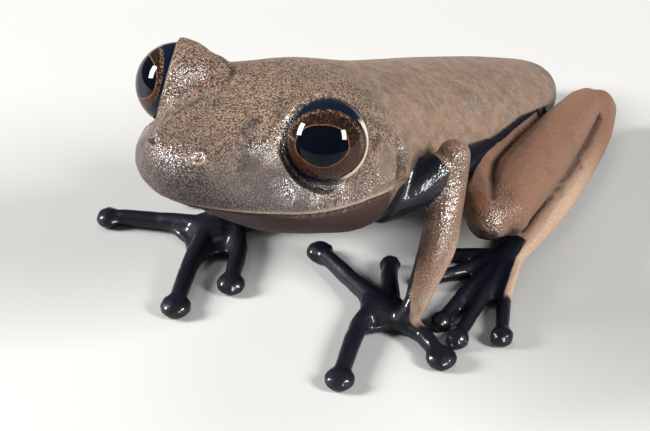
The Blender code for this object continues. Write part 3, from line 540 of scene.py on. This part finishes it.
def shape_nostrils(points):
    """Press in each nostril, inside a low rim."""
    head = head_terms(points)
    for side in (1, -1):
        way = Vector((side * NOSTRIL_WAY.x, NOSTRIL_WAY.y, NOSTRIL_WAY.z)).normalized()
        rel = head - np.array((side * NOSTRIL.x, NOSTRIL.y, NOSTRIL.z))
        depth = rel @ np.array(way)
        away = np.linalg.norm(rel - np.outer(depth, np.array(way)), axis=1)
        near = bump_of(depth, 1.2 * MM)
        push = -NOSTRIL_DEPTH[side] * bump_of(away, 0.32 * MM)
        push = push + NOSTRIL_RIM * bump_of(away - 0.48 * MM, 0.14 * MM)
        points = points + np.outer(push * near * MM, head_way(way))
    return points


def shape_drums(points, normals):
    """Sink each eardrum a little inside a raised ring."""
    head = head_terms(points)
    ring = drum_ring(head)
    push = DRUM_RING * bump_of(ring - 1.02, 0.20) - DRUM_DEPTH * step_of(ring, 1.0, 0.7)
    for side in (1, -1):
        near = step_of(side * head[:, 0], *DRUM_SIDE)
        points = points + normals * (push * near)[:, None]
    return points


def rest_on_floor(points):
    points[:, 2] = np.maximum(points[:, 2], 0.0)
    return points


# Masks painted on the skin

def node_shares(points):
    """For each kind of node, how much of it each vertex belongs to."""
    corners, faces, labels = [], [], []
    names = flesh_nodes()
    for number, name in enumerate(names):
        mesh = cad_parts[name].data
        start = len(corners)
        corners += [v.co.copy() for v in mesh.vertices]
        faces += [[start + i for i in f.vertices] for f in mesh.polygons]
        labels += [number] * len(mesh.polygons)
    tree = BVHTree.FromPolygons(corners, faces)
    owner = np.array([labels[tree.find_nearest(Vector(p))[2]] for p in points])
    shares = {}
    for kind in ("head", "lower_jaw", "torso", "upper_arm", "forearm", "thigh", "shank", "tarsus",
                 "hand", "finger", "foot", "toe"):
        mine = [n for n, name in enumerate(names) if name.startswith(kind)]
        shares[kind] = np.isin(owner, mine).astype(float)
    return shares


def put_mask(mesh, name, values):
    layer = mesh.attributes.new(name, "FLOAT", "POINT")
    layer.data.foreach_set("value", np.clip(values, 0.0, 1.0).astype(np.float32))


def blob(points, centre, radius):
    return bump_of(np.linalg.norm(points - np.array(centre) * MM, axis=1), radius * MM)


def strip_share(points):
    """One on the brown strip of the thigh between flank and shank."""
    return step_of(distance_to_line(points, THIGH_STRIP), 0.40 * MM, 0.24 * MM)


def black_and_shade_share(points, normals, shares, web):
    """Black hands and feet; flanks, chest and arms partly black, partly painted shade; painted shade
    under legs and knees.
    """
    side = points[:, 0] - EYE_MIDDLE.x
    outward = np.sign(side) * normals[:, 0]
    down = -normals[:, 2]
    black = web.blur(sum(shares[kind] for kind in BLACK_NODES), 25)
    arms = web.blur(shares["forearm"], 8)
    inner = step_of(0.35 * down - outward, -0.15, 0.35)
    black = np.maximum(black, arms * inner * step_of(points[:, 2], 7.5 * MM, 3.5 * MM))
    upper = web.blur(shares["upper_arm"], 6)
    for turn, (elbow, way) in ELBOWS.items():
        along = (points / MM - np.array(elbow)) @ np.array(way)
        upper *= np.where(turn * side > 0, step_of(along, 0.8, 1.3), 1.0)
    black = np.maximum(black, upper)
    for line, width in TONGUES:
        away = distance_to_line(points, line)
        tongue = step_of(away, width * 1.3 * MM, width * 0.7 * MM) * (1 - blob(points, line[-1], 1.5))
        black *= 1 - tongue * step_of(normals[:, 2] + 0.6 * outward, -0.2, 0.3)
    # Flanks and chest: blue-black, partly their colour and partly painted shade.
    trunk = web.blur(np.maximum(shares["torso"], shares["head"]), 6)
    limit = np.interp(points[:, 1], FLANK_EDGE[:, 0], FLANK_EDGE[:, 1])
    black = np.maximum(black, trunk * step_of(limit - points[:, 2], -0.35 * MM, 0.45 * MM))
    edge = np.interp(points[:, 1], THIGH_EDGE[:, 0], THIGH_EDGE[:, 1]) - EYE_MIDDLE.x
    inside = web.blur(shares["thigh"], 3) * step_of(edge - np.abs(side), -0.2 * MM, 0.2 * MM)
    black = np.maximum(black, inside) * (1 - strip_share(points))
    # Painted shade on the fronts of the knees and the undersides of the legs.
    legs = web.blur(shares["thigh"] + shares["shank"] + shares["tarsus"], 6)
    knees = np.maximum(blob(points, JOINTS[0][0], 3.6), blob(points, JOINTS[1][0], 3.6))
    front = step_of(0.8 * down - 0.6 * normals[:, 1], 0.05, 0.75)
    black = np.maximum(black, 0.8 * legs * knees * front)
    return np.maximum(black, 0.9 * legs * step_of(down, 0.25, 0.75))


def lip_rim_and_nostril_highlight(shares, head):
    """Thin pale edge along the upper lip, and a painted highlight round the left nostril."""
    level = mouth_level(head)
    rim = shares["head"] * bump_of(head[:, 2] - level - 0.22 * MM, 0.14 * MM)
    rim *= step_of(head[:, 1], 9 * MM, 5 * MM) * step_of(head[:, 1], -7.2 * MM, -6.2 * MM)
    # Painted highlight round the left nostril.
    away = np.linalg.norm(head - np.array(NOSTRIL), axis=1)
    return np.maximum(0.85 * rim, 0.6 * bump_of(away - 0.42 * MM, 0.08 * MM))


def pale_share(points, normals, shares, web):
    """Rear edge of the forearm, and the outer side of the tarsus."""
    side = np.sign(points[:, 0] - EYE_MIDDLE.x)
    rear = step_of(0.8 * side * normals[:, 0] + 0.6 * normals[:, 1], 0.2, 0.9)
    arm = web.blur(shares["forearm"] + shares["hand"], 6) * rear * step_of(points[:, 2], 8 * MM, 5 * MM)
    outer = step_of(side * normals[:, 0], 0.1, 0.8)
    tarsus = web.blur(shares["tarsus"] + shares["foot"], 6) * (0.25 + 0.75 * outer)
    tarsus *= step_of(points[:, 1], 19 * MM, 9 * MM)
    return np.maximum(0.9 * arm, tarsus)


def crease_shade_and_mark_share(points, normals, shares, web, head):
    """Painted shade in the mouth line, nostrils, leg and brow folds, eye grooves and hollows; a dark
    tarsus dot.
    """
    away = line_distance(head[:, 1], head[:, 2], MOUTH_LINE)
    mouth = bump_of(away, 0.10 * MM) * step_of(head[:, 1], *MOUTH_END)
    mouth *= np.maximum(shares["head"], shares["lower_jaw"])
    # Painted shade in every hollow, as deep as the surface lies below its smoothed shape.
    hollow = step_of(hollow_of(points, normals, web), 0.05 * MM, 0.20 * MM)
    dark = [mouth, 0.7 * hollow * (1 - 0.85 * strip_share(points)),
            step_of(near_lines(points, SHANK_CREASES, 0.23), 0.2, 0.7),
            0.95 * step_of(near_lines(points, TARSUS_CREASES, 0.17), 0.2, 0.7)]
    dark += [0.8 * blob(points, *mark) for mark in MARKS]
    for side in (1, -1):
        rel = head - np.array((side * NOSTRIL.x, NOSTRIL.y, NOSTRIL.z))
        dark.append(0.5 * bump_of(np.linalg.norm(rel, axis=1), 0.24 * MM))
        fold = distance_to_line(points, on_side(BROW_FOLD, side, -1))
        dark.append((0.1 if side > 0 else 0.45) * bump_of(fold, 0.2 * MM))
        dark.append(0.85 * groove_share(points, on_side(EYE_GROOVE, side), 0.30))
    return np.maximum.reduce(dark)


def lid_shade_share(points):
    """Painted shade at the edge of the lids, where they meet the eyeball."""
    lids = np.zeros(len(points))
    for side in (1, -1):
        height, across = lid_terms(points, side)
        lids = np.maximum(lids, bump_of(across - 2.88 * MM, 0.13 * MM) * step_of(height, -0.4 * MM, 0.0))
    return lids


def grainy_share(points, shares, web):
    """Where the granules show: most on head, shoulders and knees, a little all over."""
    grainy = web.blur(shares["head"] + 0.45 * shares["forearm"] + 0.5 * shares["torso"]
                      * step_of(points[:, 1], 2 * MM, -8 * MM), 30)
    for place in KNEE_FRONTS:
        grainy = np.maximum(grainy, 0.7 * blob(points, place, 3.0))
    return np.maximum(grainy, 0.2)


def shade_and_snout_share(shares, web, head):
    """Painted shade along the lower side of the head above the mouth, and a darker tone on the snout."""
    level = mouth_level(head)
    shade_and_dark_snout = web.blur(shares["head"], 10) * step_of(head[:, 2] - level, 4.2 * MM, 0.8 * MM)
    shade_and_dark_snout *= 0.3 + 0.7 * step_of(head[:, 1], -1 * MM, 4 * MM)
    snout = 0.5 * step_of(head[:, 1], 1 * MM, 6 * MM) + 0.35 * step_of(head[:, 1], 8 * MM, 9.5 * MM)
    return shade_and_dark_snout + 0.8 * web.blur(shares["head"], 10) * snout


def wet_slate_and_shade(points, shares, web, head):
    """Wet patches with the left nostril, and slate patches, partly painted shade, with the eardrums."""
    arms = 0.6 * shares["forearm"] * step_of(points[:, 2], 5.0 * MM, 7.5 * MM)
    wet, slate = web.blur(0.07 * shares["head"] + arms, 20), np.zeros(len(points))
    for patches, mask in ((WET, wet), (SLATE_AND_SHADE, slate)):
        for place, radius in patches:
            for spot in (place, mirrored(place)):
                np.maximum(mask, blob(points, spot, radius), out=mask)
    nostril = np.linalg.norm(head - np.array(NOSTRIL), axis=1)
    wet = np.maximum(wet, bump_of(nostril - 0.40 * MM, 0.12 * MM))
    drum = step_of(drum_ring(head), 1.15, 0.75)
    for side in (1, -1):
        slate = np.maximum(slate, 0.3 * step_of(side * head[:, 0], *DRUM_SIDE) * drum)
    return wet, slate


def paint_masks(skin):
    """Store every mask on the skin as a point attribute."""
    mesh = skin.data
    web = Web(mesh)
    points = points_of(mesh)
    normals = normals_of(mesh)
    shares = node_shares(points)
    head = head_terms(points)
    put_mask(mesh, "black", black_and_shade_share(points, normals, shares, web))
    put_mask(mesh, "throat", web.blur(shares["lower_jaw"], 3))
    put_mask(mesh, "pale", pale_share(points, normals, shares, web))
    put_mask(mesh, "rim", lip_rim_and_nostril_highlight(shares, head))
    put_mask(mesh, "ember", np.maximum.reduce([blob(points, *mark) for mark in EMBERS]))
    # Painted shade in creases and hollows, with the real dark dot on the left tarsus.
    put_mask(mesh, "crease_shade_and_mark", crease_shade_and_mark_share(points, normals, shares, web, head))
    put_mask(mesh, "warm", web.blur(shares["thigh"] + shares["shank"] + shares["tarsus"]
                                    + 0.7 * shares["forearm"], 12))
    # Painted shade where the lids meet the eyeballs.
    put_mask(mesh, "lid", lid_shade_share(points))
    put_mask(mesh, "grainy", grainy_share(points, shares, web))
    # Painted shade low on the head, and the darker snout.
    put_mask(mesh, "shade_and_dark_snout", shade_and_snout_share(shares, web, head))
    wet, slate = wet_slate_and_shade(points, shares, web, head)
    put_mask(mesh, "wet", wet)
    put_mask(mesh, "slate", slate)


# Materials

class Tree:
    """Short hand for building a node tree."""

    def __init__(self, tree):
        self.tree = tree

    def node(self, kind, **values):
        made = self.tree.nodes.new("ShaderNode" + kind)
        for name, value in values.items():
            setattr(made, name, value)
        return made

    def link(self, out, into):
        self.tree.links.new(out, into)

    def feed(self, socket, value):
        if isinstance(value, bpy.types.NodeSocket):
            self.link(value, socket)
        else:
            socket.default_value = value

    def math(self, operation, a, b=0.5, c=0.5):
        made = self.node("Math", operation=operation)
        for socket, value in zip(made.inputs, (a, b, c)):
            self.feed(socket, value)
        return made.outputs[0]

    def times(self, a, b):
        return self.math("MULTIPLY", a, b)

    def vector(self, operation, a, b):
        made = self.node("VectorMath", operation=operation)
        self.feed(made.inputs[0], a)
        self.feed(made.inputs[1], b)
        return made.outputs["Value" if operation in ("DOT_PRODUCT", "LENGTH") else "Vector"]

    def mix(self, share, a, b):
        made = self.node("Mix", data_type="RGBA")
        self.feed(made.inputs[0], share)
        self.feed(made.inputs[6], a if isinstance(a, bpy.types.NodeSocket) else (*a, 1.0))
        self.feed(made.inputs[7], b if isinstance(b, bpy.types.NodeSocket) else (*b, 1.0))
        return made.outputs[2]

    def ramp(self, value, low, high, start=0.0, end=1.0):
        made = self.node("MapRange", interpolation_type="SMOOTHSTEP")
        for socket, item in zip(made.inputs, (value, low, high, start, end)):
            self.feed(socket, item)
        return made.outputs[0]

    def attribute(self, name):
        return self.node("Attribute", attribute_name=name).outputs["Fac"]

    def noise(self, place, size, detail=3.0, roughness=0.55):
        made = self.node("TexNoise")
        self.feed(made.inputs["Vector"], place)
        made.inputs["Scale"].default_value = 1.0 / size
        made.inputs["Detail"].default_value = detail
        made.inputs["Roughness"].default_value = roughness
        return made.outputs["Fac"]

    def cells(self, place, size):
        made = self.node("TexVoronoi", feature="F1")
        self.feed(made.inputs["Vector"], place)
        made.inputs["Scale"].default_value = 1.0 / size
        return made.outputs["Distance"], made.outputs["Color"]


def new_material(name):
    """A material, its shader, and short hand for its node tree."""
    material = bpy.data.materials.new(name)
    material.use_nodes = True
    return material, material.node_tree.nodes["Principled BSDF"], Tree(material.node_tree)


def put_values(shader, values):
    for name, value in values.items():
        shader.inputs[name].default_value = value


def granule_group(size):
    """Granular skin: height of the granules, a random tone for each, and how near its top is."""
    group = bpy.data.node_groups.new("granules", "ShaderNodeTree")
    group.interface.new_socket("Place", in_out="INPUT", socket_type="NodeSocketVector")
    for name in ("Height", "Tone", "Top"):
        group.interface.new_socket(name, in_out="OUTPUT", socket_type="NodeSocketFloat")
    tree = Tree(group)
    place = group.nodes.new("NodeGroupInput")
    result = group.nodes.new("NodeGroupOutput")
    far, tone = tree.cells(place.outputs["Place"], size)
    fine_far, _ = tree.cells(place.outputs["Place"], size * 0.6)
    big = tree.ramp(far, 0.10, 0.75, 1.0, 0.0)
    small = tree.ramp(fine_far, 0.0, 0.8, 1.0, 0.0)
    tree.link(tree.math("MULTIPLY_ADD", small, 0.35, big), result.inputs["Height"])
    tree.link(tree.vector("DOT_PRODUCT", tone, (1.0, 0.0, 0.0)), result.inputs["Tone"])
    tree.link(tree.ramp(far, 0.68, 0.36), result.inputs["Top"])
    return group


def skin_material(settings):
    """Granular skin, wet in patches, smooth and black on the hands, feet and flanks."""
    material, shader, tree = new_material("frog_skin")
    place = tree.node("TexCoord").outputs["Object"]
    grain = tree.node("Group")
    grain.node_tree = granule_group(settings.granule)
    tree.link(place, grain.inputs["Place"])
    tone, top = grain.outputs["Tone"], grain.outputs["Top"]
    black, throat, pale, crease_shade_and_mark, lid, warm, wet, slate, grainy, shade_and_dark_snout, rim, ember = (
        tree.attribute(n) for n in ("black", "throat", "pale", "crease_shade_and_mark", "lid", "warm", "wet", "slate",
                                    "grainy", "shade_and_dark_snout", "rim", "ember"))

    blotch = tree.noise(place, 2.6 * MM, 4.0)
    mottle = tree.noise(place, 0.8 * MM, 4.0, 0.65)
    ground = tree.mix(tree.ramp(mottle, 0.35, 0.70), settings.brown, settings.taupe)
    ground = tree.mix(tree.ramp(blotch, 0.55, 0.35, 0.0, 0.4), ground, settings.rose)
    ground = tree.mix(warm, ground, settings.copper)
    ground = tree.mix(tree.ramp(blotch, 0.50, 0.75, 0.0, 0.4), ground, settings.slate)
    # Slate patches, partly painted shade, with the painted shade low on the head and the darker snout.
    patch = tree.times(slate, tree.ramp(mottle, 0.30, 0.62, 0.75, 1.05))
    patch = tree.math("MAXIMUM", patch, tree.times(shade_and_dark_snout, 0.8))
    ground = tree.mix(tree.times(patch, 0.85), ground, settings.slate)
    ground = tree.mix(tree.times(pale, 0.75), ground, settings.tan)
    bright = tree.times(tree.ramp(tone, 0.3, 1.0), tree.times(top, grainy))
    bright = tree.times(bright, tree.math("SUBTRACT", 1.0, patch))
    ground = tree.mix(tree.times(bright, 0.28), ground, settings.tan)
    gap = tree.times(tree.math("SUBTRACT", 1.0, top), grainy)
    gap = tree.math("ADD", tree.times(gap, 0.88), tree.math("MULTIPLY_ADD", grainy, -0.12, 0.12))
    ground = tree.mix(gap, ground, settings.umber)
    # Pale edge of the upper lip, and the painted highlight round the left nostril.
    ground = tree.mix(tree.times(rim, 0.75), ground, settings.rim)
    # Throat, darkened as painted shade under the head.
    ground = tree.mix(tree.times(throat, 0.95), ground, settings.throat_and_shade)
    # Black hands and feet, and painted shade on flanks, chest, arms and under the legs.
    ragged = tree.math("ADD", black, tree.math("MULTIPLY_ADD", mottle, 0.5, -0.25))
    dark = tree.ramp(ragged, 0.28, 0.66)
    ground = tree.mix(dark, ground, settings.black)
    # Painted shade at the edge of the lids.
    ground = tree.mix(tree.times(lid, 0.85), ground, settings.black)
    # Painted shade in creases and hollows, with the dark dot on the left tarsus.
    ground = tree.mix(tree.times(crease_shade_and_mark, 0.92), ground, settings.black)
    ground = tree.mix(tree.times(ember, tree.ramp(mottle, 0.3, 0.6, 0.4, 1.0)), ground, settings.ember)
    tree.link(ground, shader.inputs["Base Color"])

    film = tree.ramp(tree.cells(place, 0.23 * MM)[0], 0.0, 0.75, 1.0, 0.0)
    film = tree.times(film, tree.math("MULTIPLY_ADD", grainy, -0.5, 1.4))
    speck = tree.ramp(tree.noise(place, 0.5 * MM, 3.0, 0.6), 0.36, 0.56, 0.5, 1.0)
    damp = tree.times(wet, speck)
    rough = tree.math("MULTIPLY_ADD", throat, 0.25, 0.50)
    tree.link(tree.math("MULTIPLY_ADD", damp, -0.15, rough), shader.inputs["Roughness"])
    coat = tree.math("MAXIMUM", tree.ramp(dark, 0.0, 1.0, 0.03, 0.22), damp)
    tree.link(coat, shader.inputs["Coat Weight"])
    put_values(shader, {"Coat Roughness": 0.07, "Coat IOR": 1.75, "Specular IOR Level": 0.12,
                        "Metallic": 0.0, "Subsurface Weight": 0.04,
                        "Subsurface Radius": (0.0012, 0.0006, 0.0004), "Subsurface Scale": 1.0})

    relief = tree.node("Bump")
    share = tree.times(tree.math("MULTIPLY_ADD", grainy, 0.5, 0.12),
                       tree.ramp(dark, 0.0, 1.0, 1.0, 0.15))
    share = tree.times(share, tree.math("MULTIPLY_ADD", wet, -0.3, 1.0))
    height = tree.times(grain.outputs["Height"], share)
    height = tree.math("MULTIPLY_ADD", film, wet, height)
    swell = tree.times(tree.noise(place, 0.5 * MM, 2.0, 0.5), 0.7)
    height = tree.math("MULTIPLY_ADD", swell, dark, height)
    relief.inputs["Strength"].default_value = 1.0
    relief.inputs["Distance"].default_value = 0.055 * MM
    tree.link(height, relief.inputs["Height"])
    tree.link(relief.outputs["Normal"], shader.inputs["Normal"])
    tree.link(relief.outputs["Normal"], shader.inputs["Coat Normal"])
    return material


def eye_material(settings, side):
    """Wet eye: dark pupil with a thin copper edge, speckled iris, blue-black band, cream rear edge."""
    word = "left" if side > 0 else "right"
    material, shader, tree = new_material("frog_eye_" + word)
    place = tree.node("TexCoord").outputs["Object"]
    local = tree.vector("SUBTRACT", place, tuple(eye_centre(side)))
    gaze = GAZE[side].normalized()
    level = Vector((0, 0, 1)).cross(gaze).normalized() * side
    upright = gaze.cross(level) * side
    across = tree.math("DIVIDE", tree.vector("DOT_PRODUCT", local, tuple(level)), EYE_RADIUS)
    above = tree.math("DIVIDE", tree.vector("DOT_PRODUCT", local, tuple(upright)), EYE_RADIUS)
    fine = tree.noise(place, 0.13 * MM, 4.0, 0.65)
    grain = tree.noise(place, 0.30 * MM, 3.0, 0.6)

    def ring(oval, top_power, low_power):
        """Distance from an oval's middle in half sizes, boxier above and more pointed below."""
        x = tree.math("ABSOLUTE", tree.math("DIVIDE", tree.math("SUBTRACT", across, oval[0]), oval[2]))
        y = tree.math("DIVIDE", tree.math("SUBTRACT", above, oval[1]), oval[3])
        power = tree.ramp(y, -0.7, 0.7, low_power, top_power)
        total = tree.math("ADD", tree.math("POWER", x, power),
                          tree.math("POWER", tree.math("ABSOLUTE", y), power))
        return tree.math("POWER", total, tree.math("DIVIDE", 1.0, power))

    pupil = tree.math("ADD", ring(PUPIL[side], 2.3, 1.75), tree.math("MULTIPLY_ADD", fine, 0.04, -0.02))
    iris = tree.math("ADD", ring(IRIS[side], 2.0, 2.0), tree.math("MULTIPLY_ADD", fine, 0.05, -0.025))

    colour = tree.mix(tree.ramp(above, -0.30, 0.30), settings.rust, settings.peat)
    light = tree.times(tree.ramp(fine, 0.50, 0.66), tree.ramp(grain, 0.40, 0.60))
    colour = tree.mix(tree.times(light, 0.3), colour, settings.fleck)
    colour = tree.mix(tree.times(tree.ramp(fine, 0.50, 0.38), 0.75), colour, settings.night)
    rim = tree.times(tree.ramp(iris, 0.86, 0.93), tree.ramp(above, -0.35, 0.15))
    rim = tree.times(rim, tree.ramp(fine, 0.47, 0.58))
    colour = tree.mix(tree.times(rim, 0.75), colour, settings.fleck)
    edge = tree.times(tree.ramp(pupil, 0.980, 1.00), tree.ramp(pupil, 1.042, 1.018))
    edge = tree.times(edge, tree.ramp(fine, 0.35, 0.55, 0.35, 1.0))
    colour = tree.mix(edge, colour, settings.gold)
    colour = tree.mix(tree.ramp(pupil, 1.00, 0.97), colour, settings.night)
    colour = tree.mix(tree.ramp(iris, 0.96, 1.00), colour, settings.navy)
    rear = tree.times(tree.ramp(across, 0.30, 0.52), tree.ramp(above, 0.58, 0.42))
    rear = tree.times(rear, tree.ramp(iris, 1.03, 1.05))
    rear = tree.times(rear, tree.ramp(iris, 1.17, 1.13))
    front = tree.math("DIVIDE", tree.vector("DOT_PRODUCT", local, tuple(gaze)), EYE_RADIUS)
    rear = tree.times(rear, tree.ramp(front, 0.10, 0.18))
    colour = tree.mix(rear, colour, settings.cream)
    tree.link(colour, shader.inputs["Base Color"])
    put_values(shader, {"Roughness": 0.5, "Specular IOR Level": 0.0, "Coat Weight": 1.0,
                        "Coat Roughness": 0.015, "Coat IOR": 1.27})
    return material


# Operators

class FROG_OT_skin(Operator):
    """Melt the flesh solids into one seamless skin, shape its details and colour it"""

    bl_idname = "frog.make_skin"
    bl_label = "Skin"

    def execute(self, context):
        settings = context.scene.frog_skin
        skin = melted_flesh(settings)
        web, points = even_out(skin, settings)
        points = soften_lids(points, web)
        points = tuck_chin(soften_joints(points, web))
        put_points(skin.data, points)
        normals = normals_of(skin.data)
        points = shape_creases(points, normals)
        points = shape_mouth(points, normals)
        points = shape_drums(points, normals)
        points = shape_folds(points, normals)
        points = shape_nostrils(points)
        put_points(skin.data, rest_on_floor(points))
        count = sum(len(f.vertices) - 2 for f in skin.data.polygons)
        if count > settings.triangles:
            modify(skin, "DECIMATE", ratio=settings.triangles / count)
        put_points(skin.data, rest_on_floor(points_of(skin.data)))
        paint_masks(skin)
        skin.data.materials.append(skin_material(settings))
        skin.data.shade_smooth()
        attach(skin, "root")
        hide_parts(*flesh_nodes())
        damp = bpy.data.collections.get(GLINT_RECEIVERS)
        if damp is not None:
            damp.objects.link(skin)
        return {"FINISHED"}


class FROG_OT_eyes(Operator):
    """Set a whole wet eyeball in each socket"""

    bl_idname = "frog.make_eyes"
    bl_label = "Eyes"

    def execute(self, context):
        settings = context.scene.frog_eyes
        for side, word in ((1, "left"), (-1, "right")):
            bpy.ops.object.select_all(action="DESELECT")
            bpy.ops.mesh.primitive_uv_sphere_add(segments=96, ring_count=64, radius=EYE_RADIUS,
                                                 location=(0, 0, 0))
            ball = context.view_layer.objects.active
            ball.name = "eyeball_" + word
            turn = Vector((0, 0, 1)).rotation_difference(GAZE[side].normalized())
            ball.data.transform(Matrix.Translation(eye_centre(side)) @ turn.to_matrix().to_4x4())
            ball.data.shade_smooth()
            ball.data.materials.append(eye_material(settings, side))
            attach(ball, "root")
            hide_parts("eye_" + word)
        return {"FINISHED"}


def aimed_light(name, power):
    """Soft rectangular light of this name in LIGHTS, facing the frog."""
    way, distance, width, height = LIGHTS[name]
    lamp = bpy.data.lights.new(name, "AREA")
    lamp.shape = "RECTANGLE"
    lamp.size, lamp.size_y, lamp.energy = width, height, power
    thing = bpy.data.objects.new(name, lamp)
    bpy.context.collection.objects.link(thing)
    eye = bpy.context.scene.camera.matrix_world.to_3x3()
    outward = (eye @ Vector(way)).normalized()
    above = eye @ Vector((0, 1, 0))
    above = (above - outward * above.dot(outward)).normalized()
    place = Matrix((above.cross(outward), above, outward)).transposed().to_4x4()
    place.translation = CAMERA_AIM + outward * distance
    thing.matrix_world = place
    return thing


class FROG_OT_studio(Operator):
    """Plain pale floor, soft lights and the camera at the photograph's angle"""

    bl_idname = "frog.make_studio"
    bl_label = "Studio"

    def execute(self, context):
        settings = context.scene.frog_studio
        azimuth, height, roll = (math.radians(v) for v in CAMERA_ANGLES)
        back = Vector((math.sin(azimuth) * math.cos(height), -math.cos(azimuth) * math.cos(height),
                       math.sin(height)))
        right = Vector((math.cos(azimuth), math.sin(azimuth), 0))
        up = back.cross(right)
        right, up = (right * math.cos(roll) + up * math.sin(roll),
                     up * math.cos(roll) - right * math.sin(roll))
        lens = bpy.data.cameras.new("camera")
        lens.sensor_width = SENSOR_WIDTH
        lens.lens = CAMERA_LENS
        lens.clip_start, lens.clip_end = 0.01, 10
        camera = bpy.data.objects.new("camera", lens)
        context.collection.objects.link(camera)
        place = Matrix((right, up, back)).transposed().to_4x4()
        place.translation = CAMERA_AIM + back * CAMERA_DISTANCE
        camera.matrix_world = place
        context.scene.camera = camera
        context.view_layer.update()

        bpy.ops.object.select_all(action="DESELECT")
        bpy.ops.mesh.primitive_plane_add(size=3, location=(0, 0, 0))
        floor = context.view_layer.objects.active
        floor.name = "floor"
        material, shader, _ = new_material("floor")
        put_values(shader, {"Base Color": (*settings.floor, 1), "Roughness": 0.6})
        floor.data.materials.append(material)

        world = bpy.data.worlds.new("room")
        world.use_nodes = True
        sky = world.node_tree.nodes["Background"]
        sky.inputs["Color"].default_value = (0.92, 0.95, 1.0, 1)
        sky.inputs["Strength"].default_value = settings.room
        context.scene.world = world
        context.scene.view_settings.view_transform = "Standard"
        aimed_light("key", settings.key)
        aimed_light("fill", settings.fill)
        above = aimed_light("top", settings.top)
        above.visible_glossy = False
        glint = aimed_light("glint", settings.glint)
        glint.visible_diffuse = False
        glint.light_linking.receiver_collection = bpy.data.collections.new(GLINT_RECEIVERS)
        return {"FINISHED"}


class FROG_PT_panel(Panel):
    """Buttons and settings of the frog"""

    bl_idname = "FROG_PT_panel"
    bl_label = "Cocoa frog"
    bl_space_type = "VIEW_3D"
    bl_region_type = "UI"
    bl_category = "Frog"

    def draw(self, context):
        layout = self.layout
        scene = context.scene
        for settings, operator in ((scene.frog_skin, FROG_OT_skin), (scene.frog_eyes, FROG_OT_eyes),
                                   (scene.frog_studio, FROG_OT_studio)):
            box = layout.box()
            for name in settings.__annotations__:
                box.prop(settings, name)
            box.operator(operator.bl_idname)


CLASSES = (SkinSettings, EyeSettings, StudioSettings, FROG_OT_skin, FROG_OT_eyes, FROG_OT_studio,
           FROG_PT_panel)


def register():
    for item in CLASSES:
        bpy.utils.register_class(item)
    bpy.types.Scene.frog_skin = PointerProperty(type=SkinSettings)
    bpy.types.Scene.frog_eyes = PointerProperty(type=EyeSettings)
    bpy.types.Scene.frog_studio = PointerProperty(type=StudioSettings)


def unregister():
    del bpy.types.Scene.frog_studio
    del bpy.types.Scene.frog_eyes
    del bpy.types.Scene.frog_skin
    for item in reversed(CLASSES):
        bpy.utils.unregister_class(item)


def main():
    register()
    bpy.ops.frog.make_studio()
    bpy.ops.frog.make_skin()
    bpy.ops.frog.make_eyes()


if __name__ == "__main__":
    main()
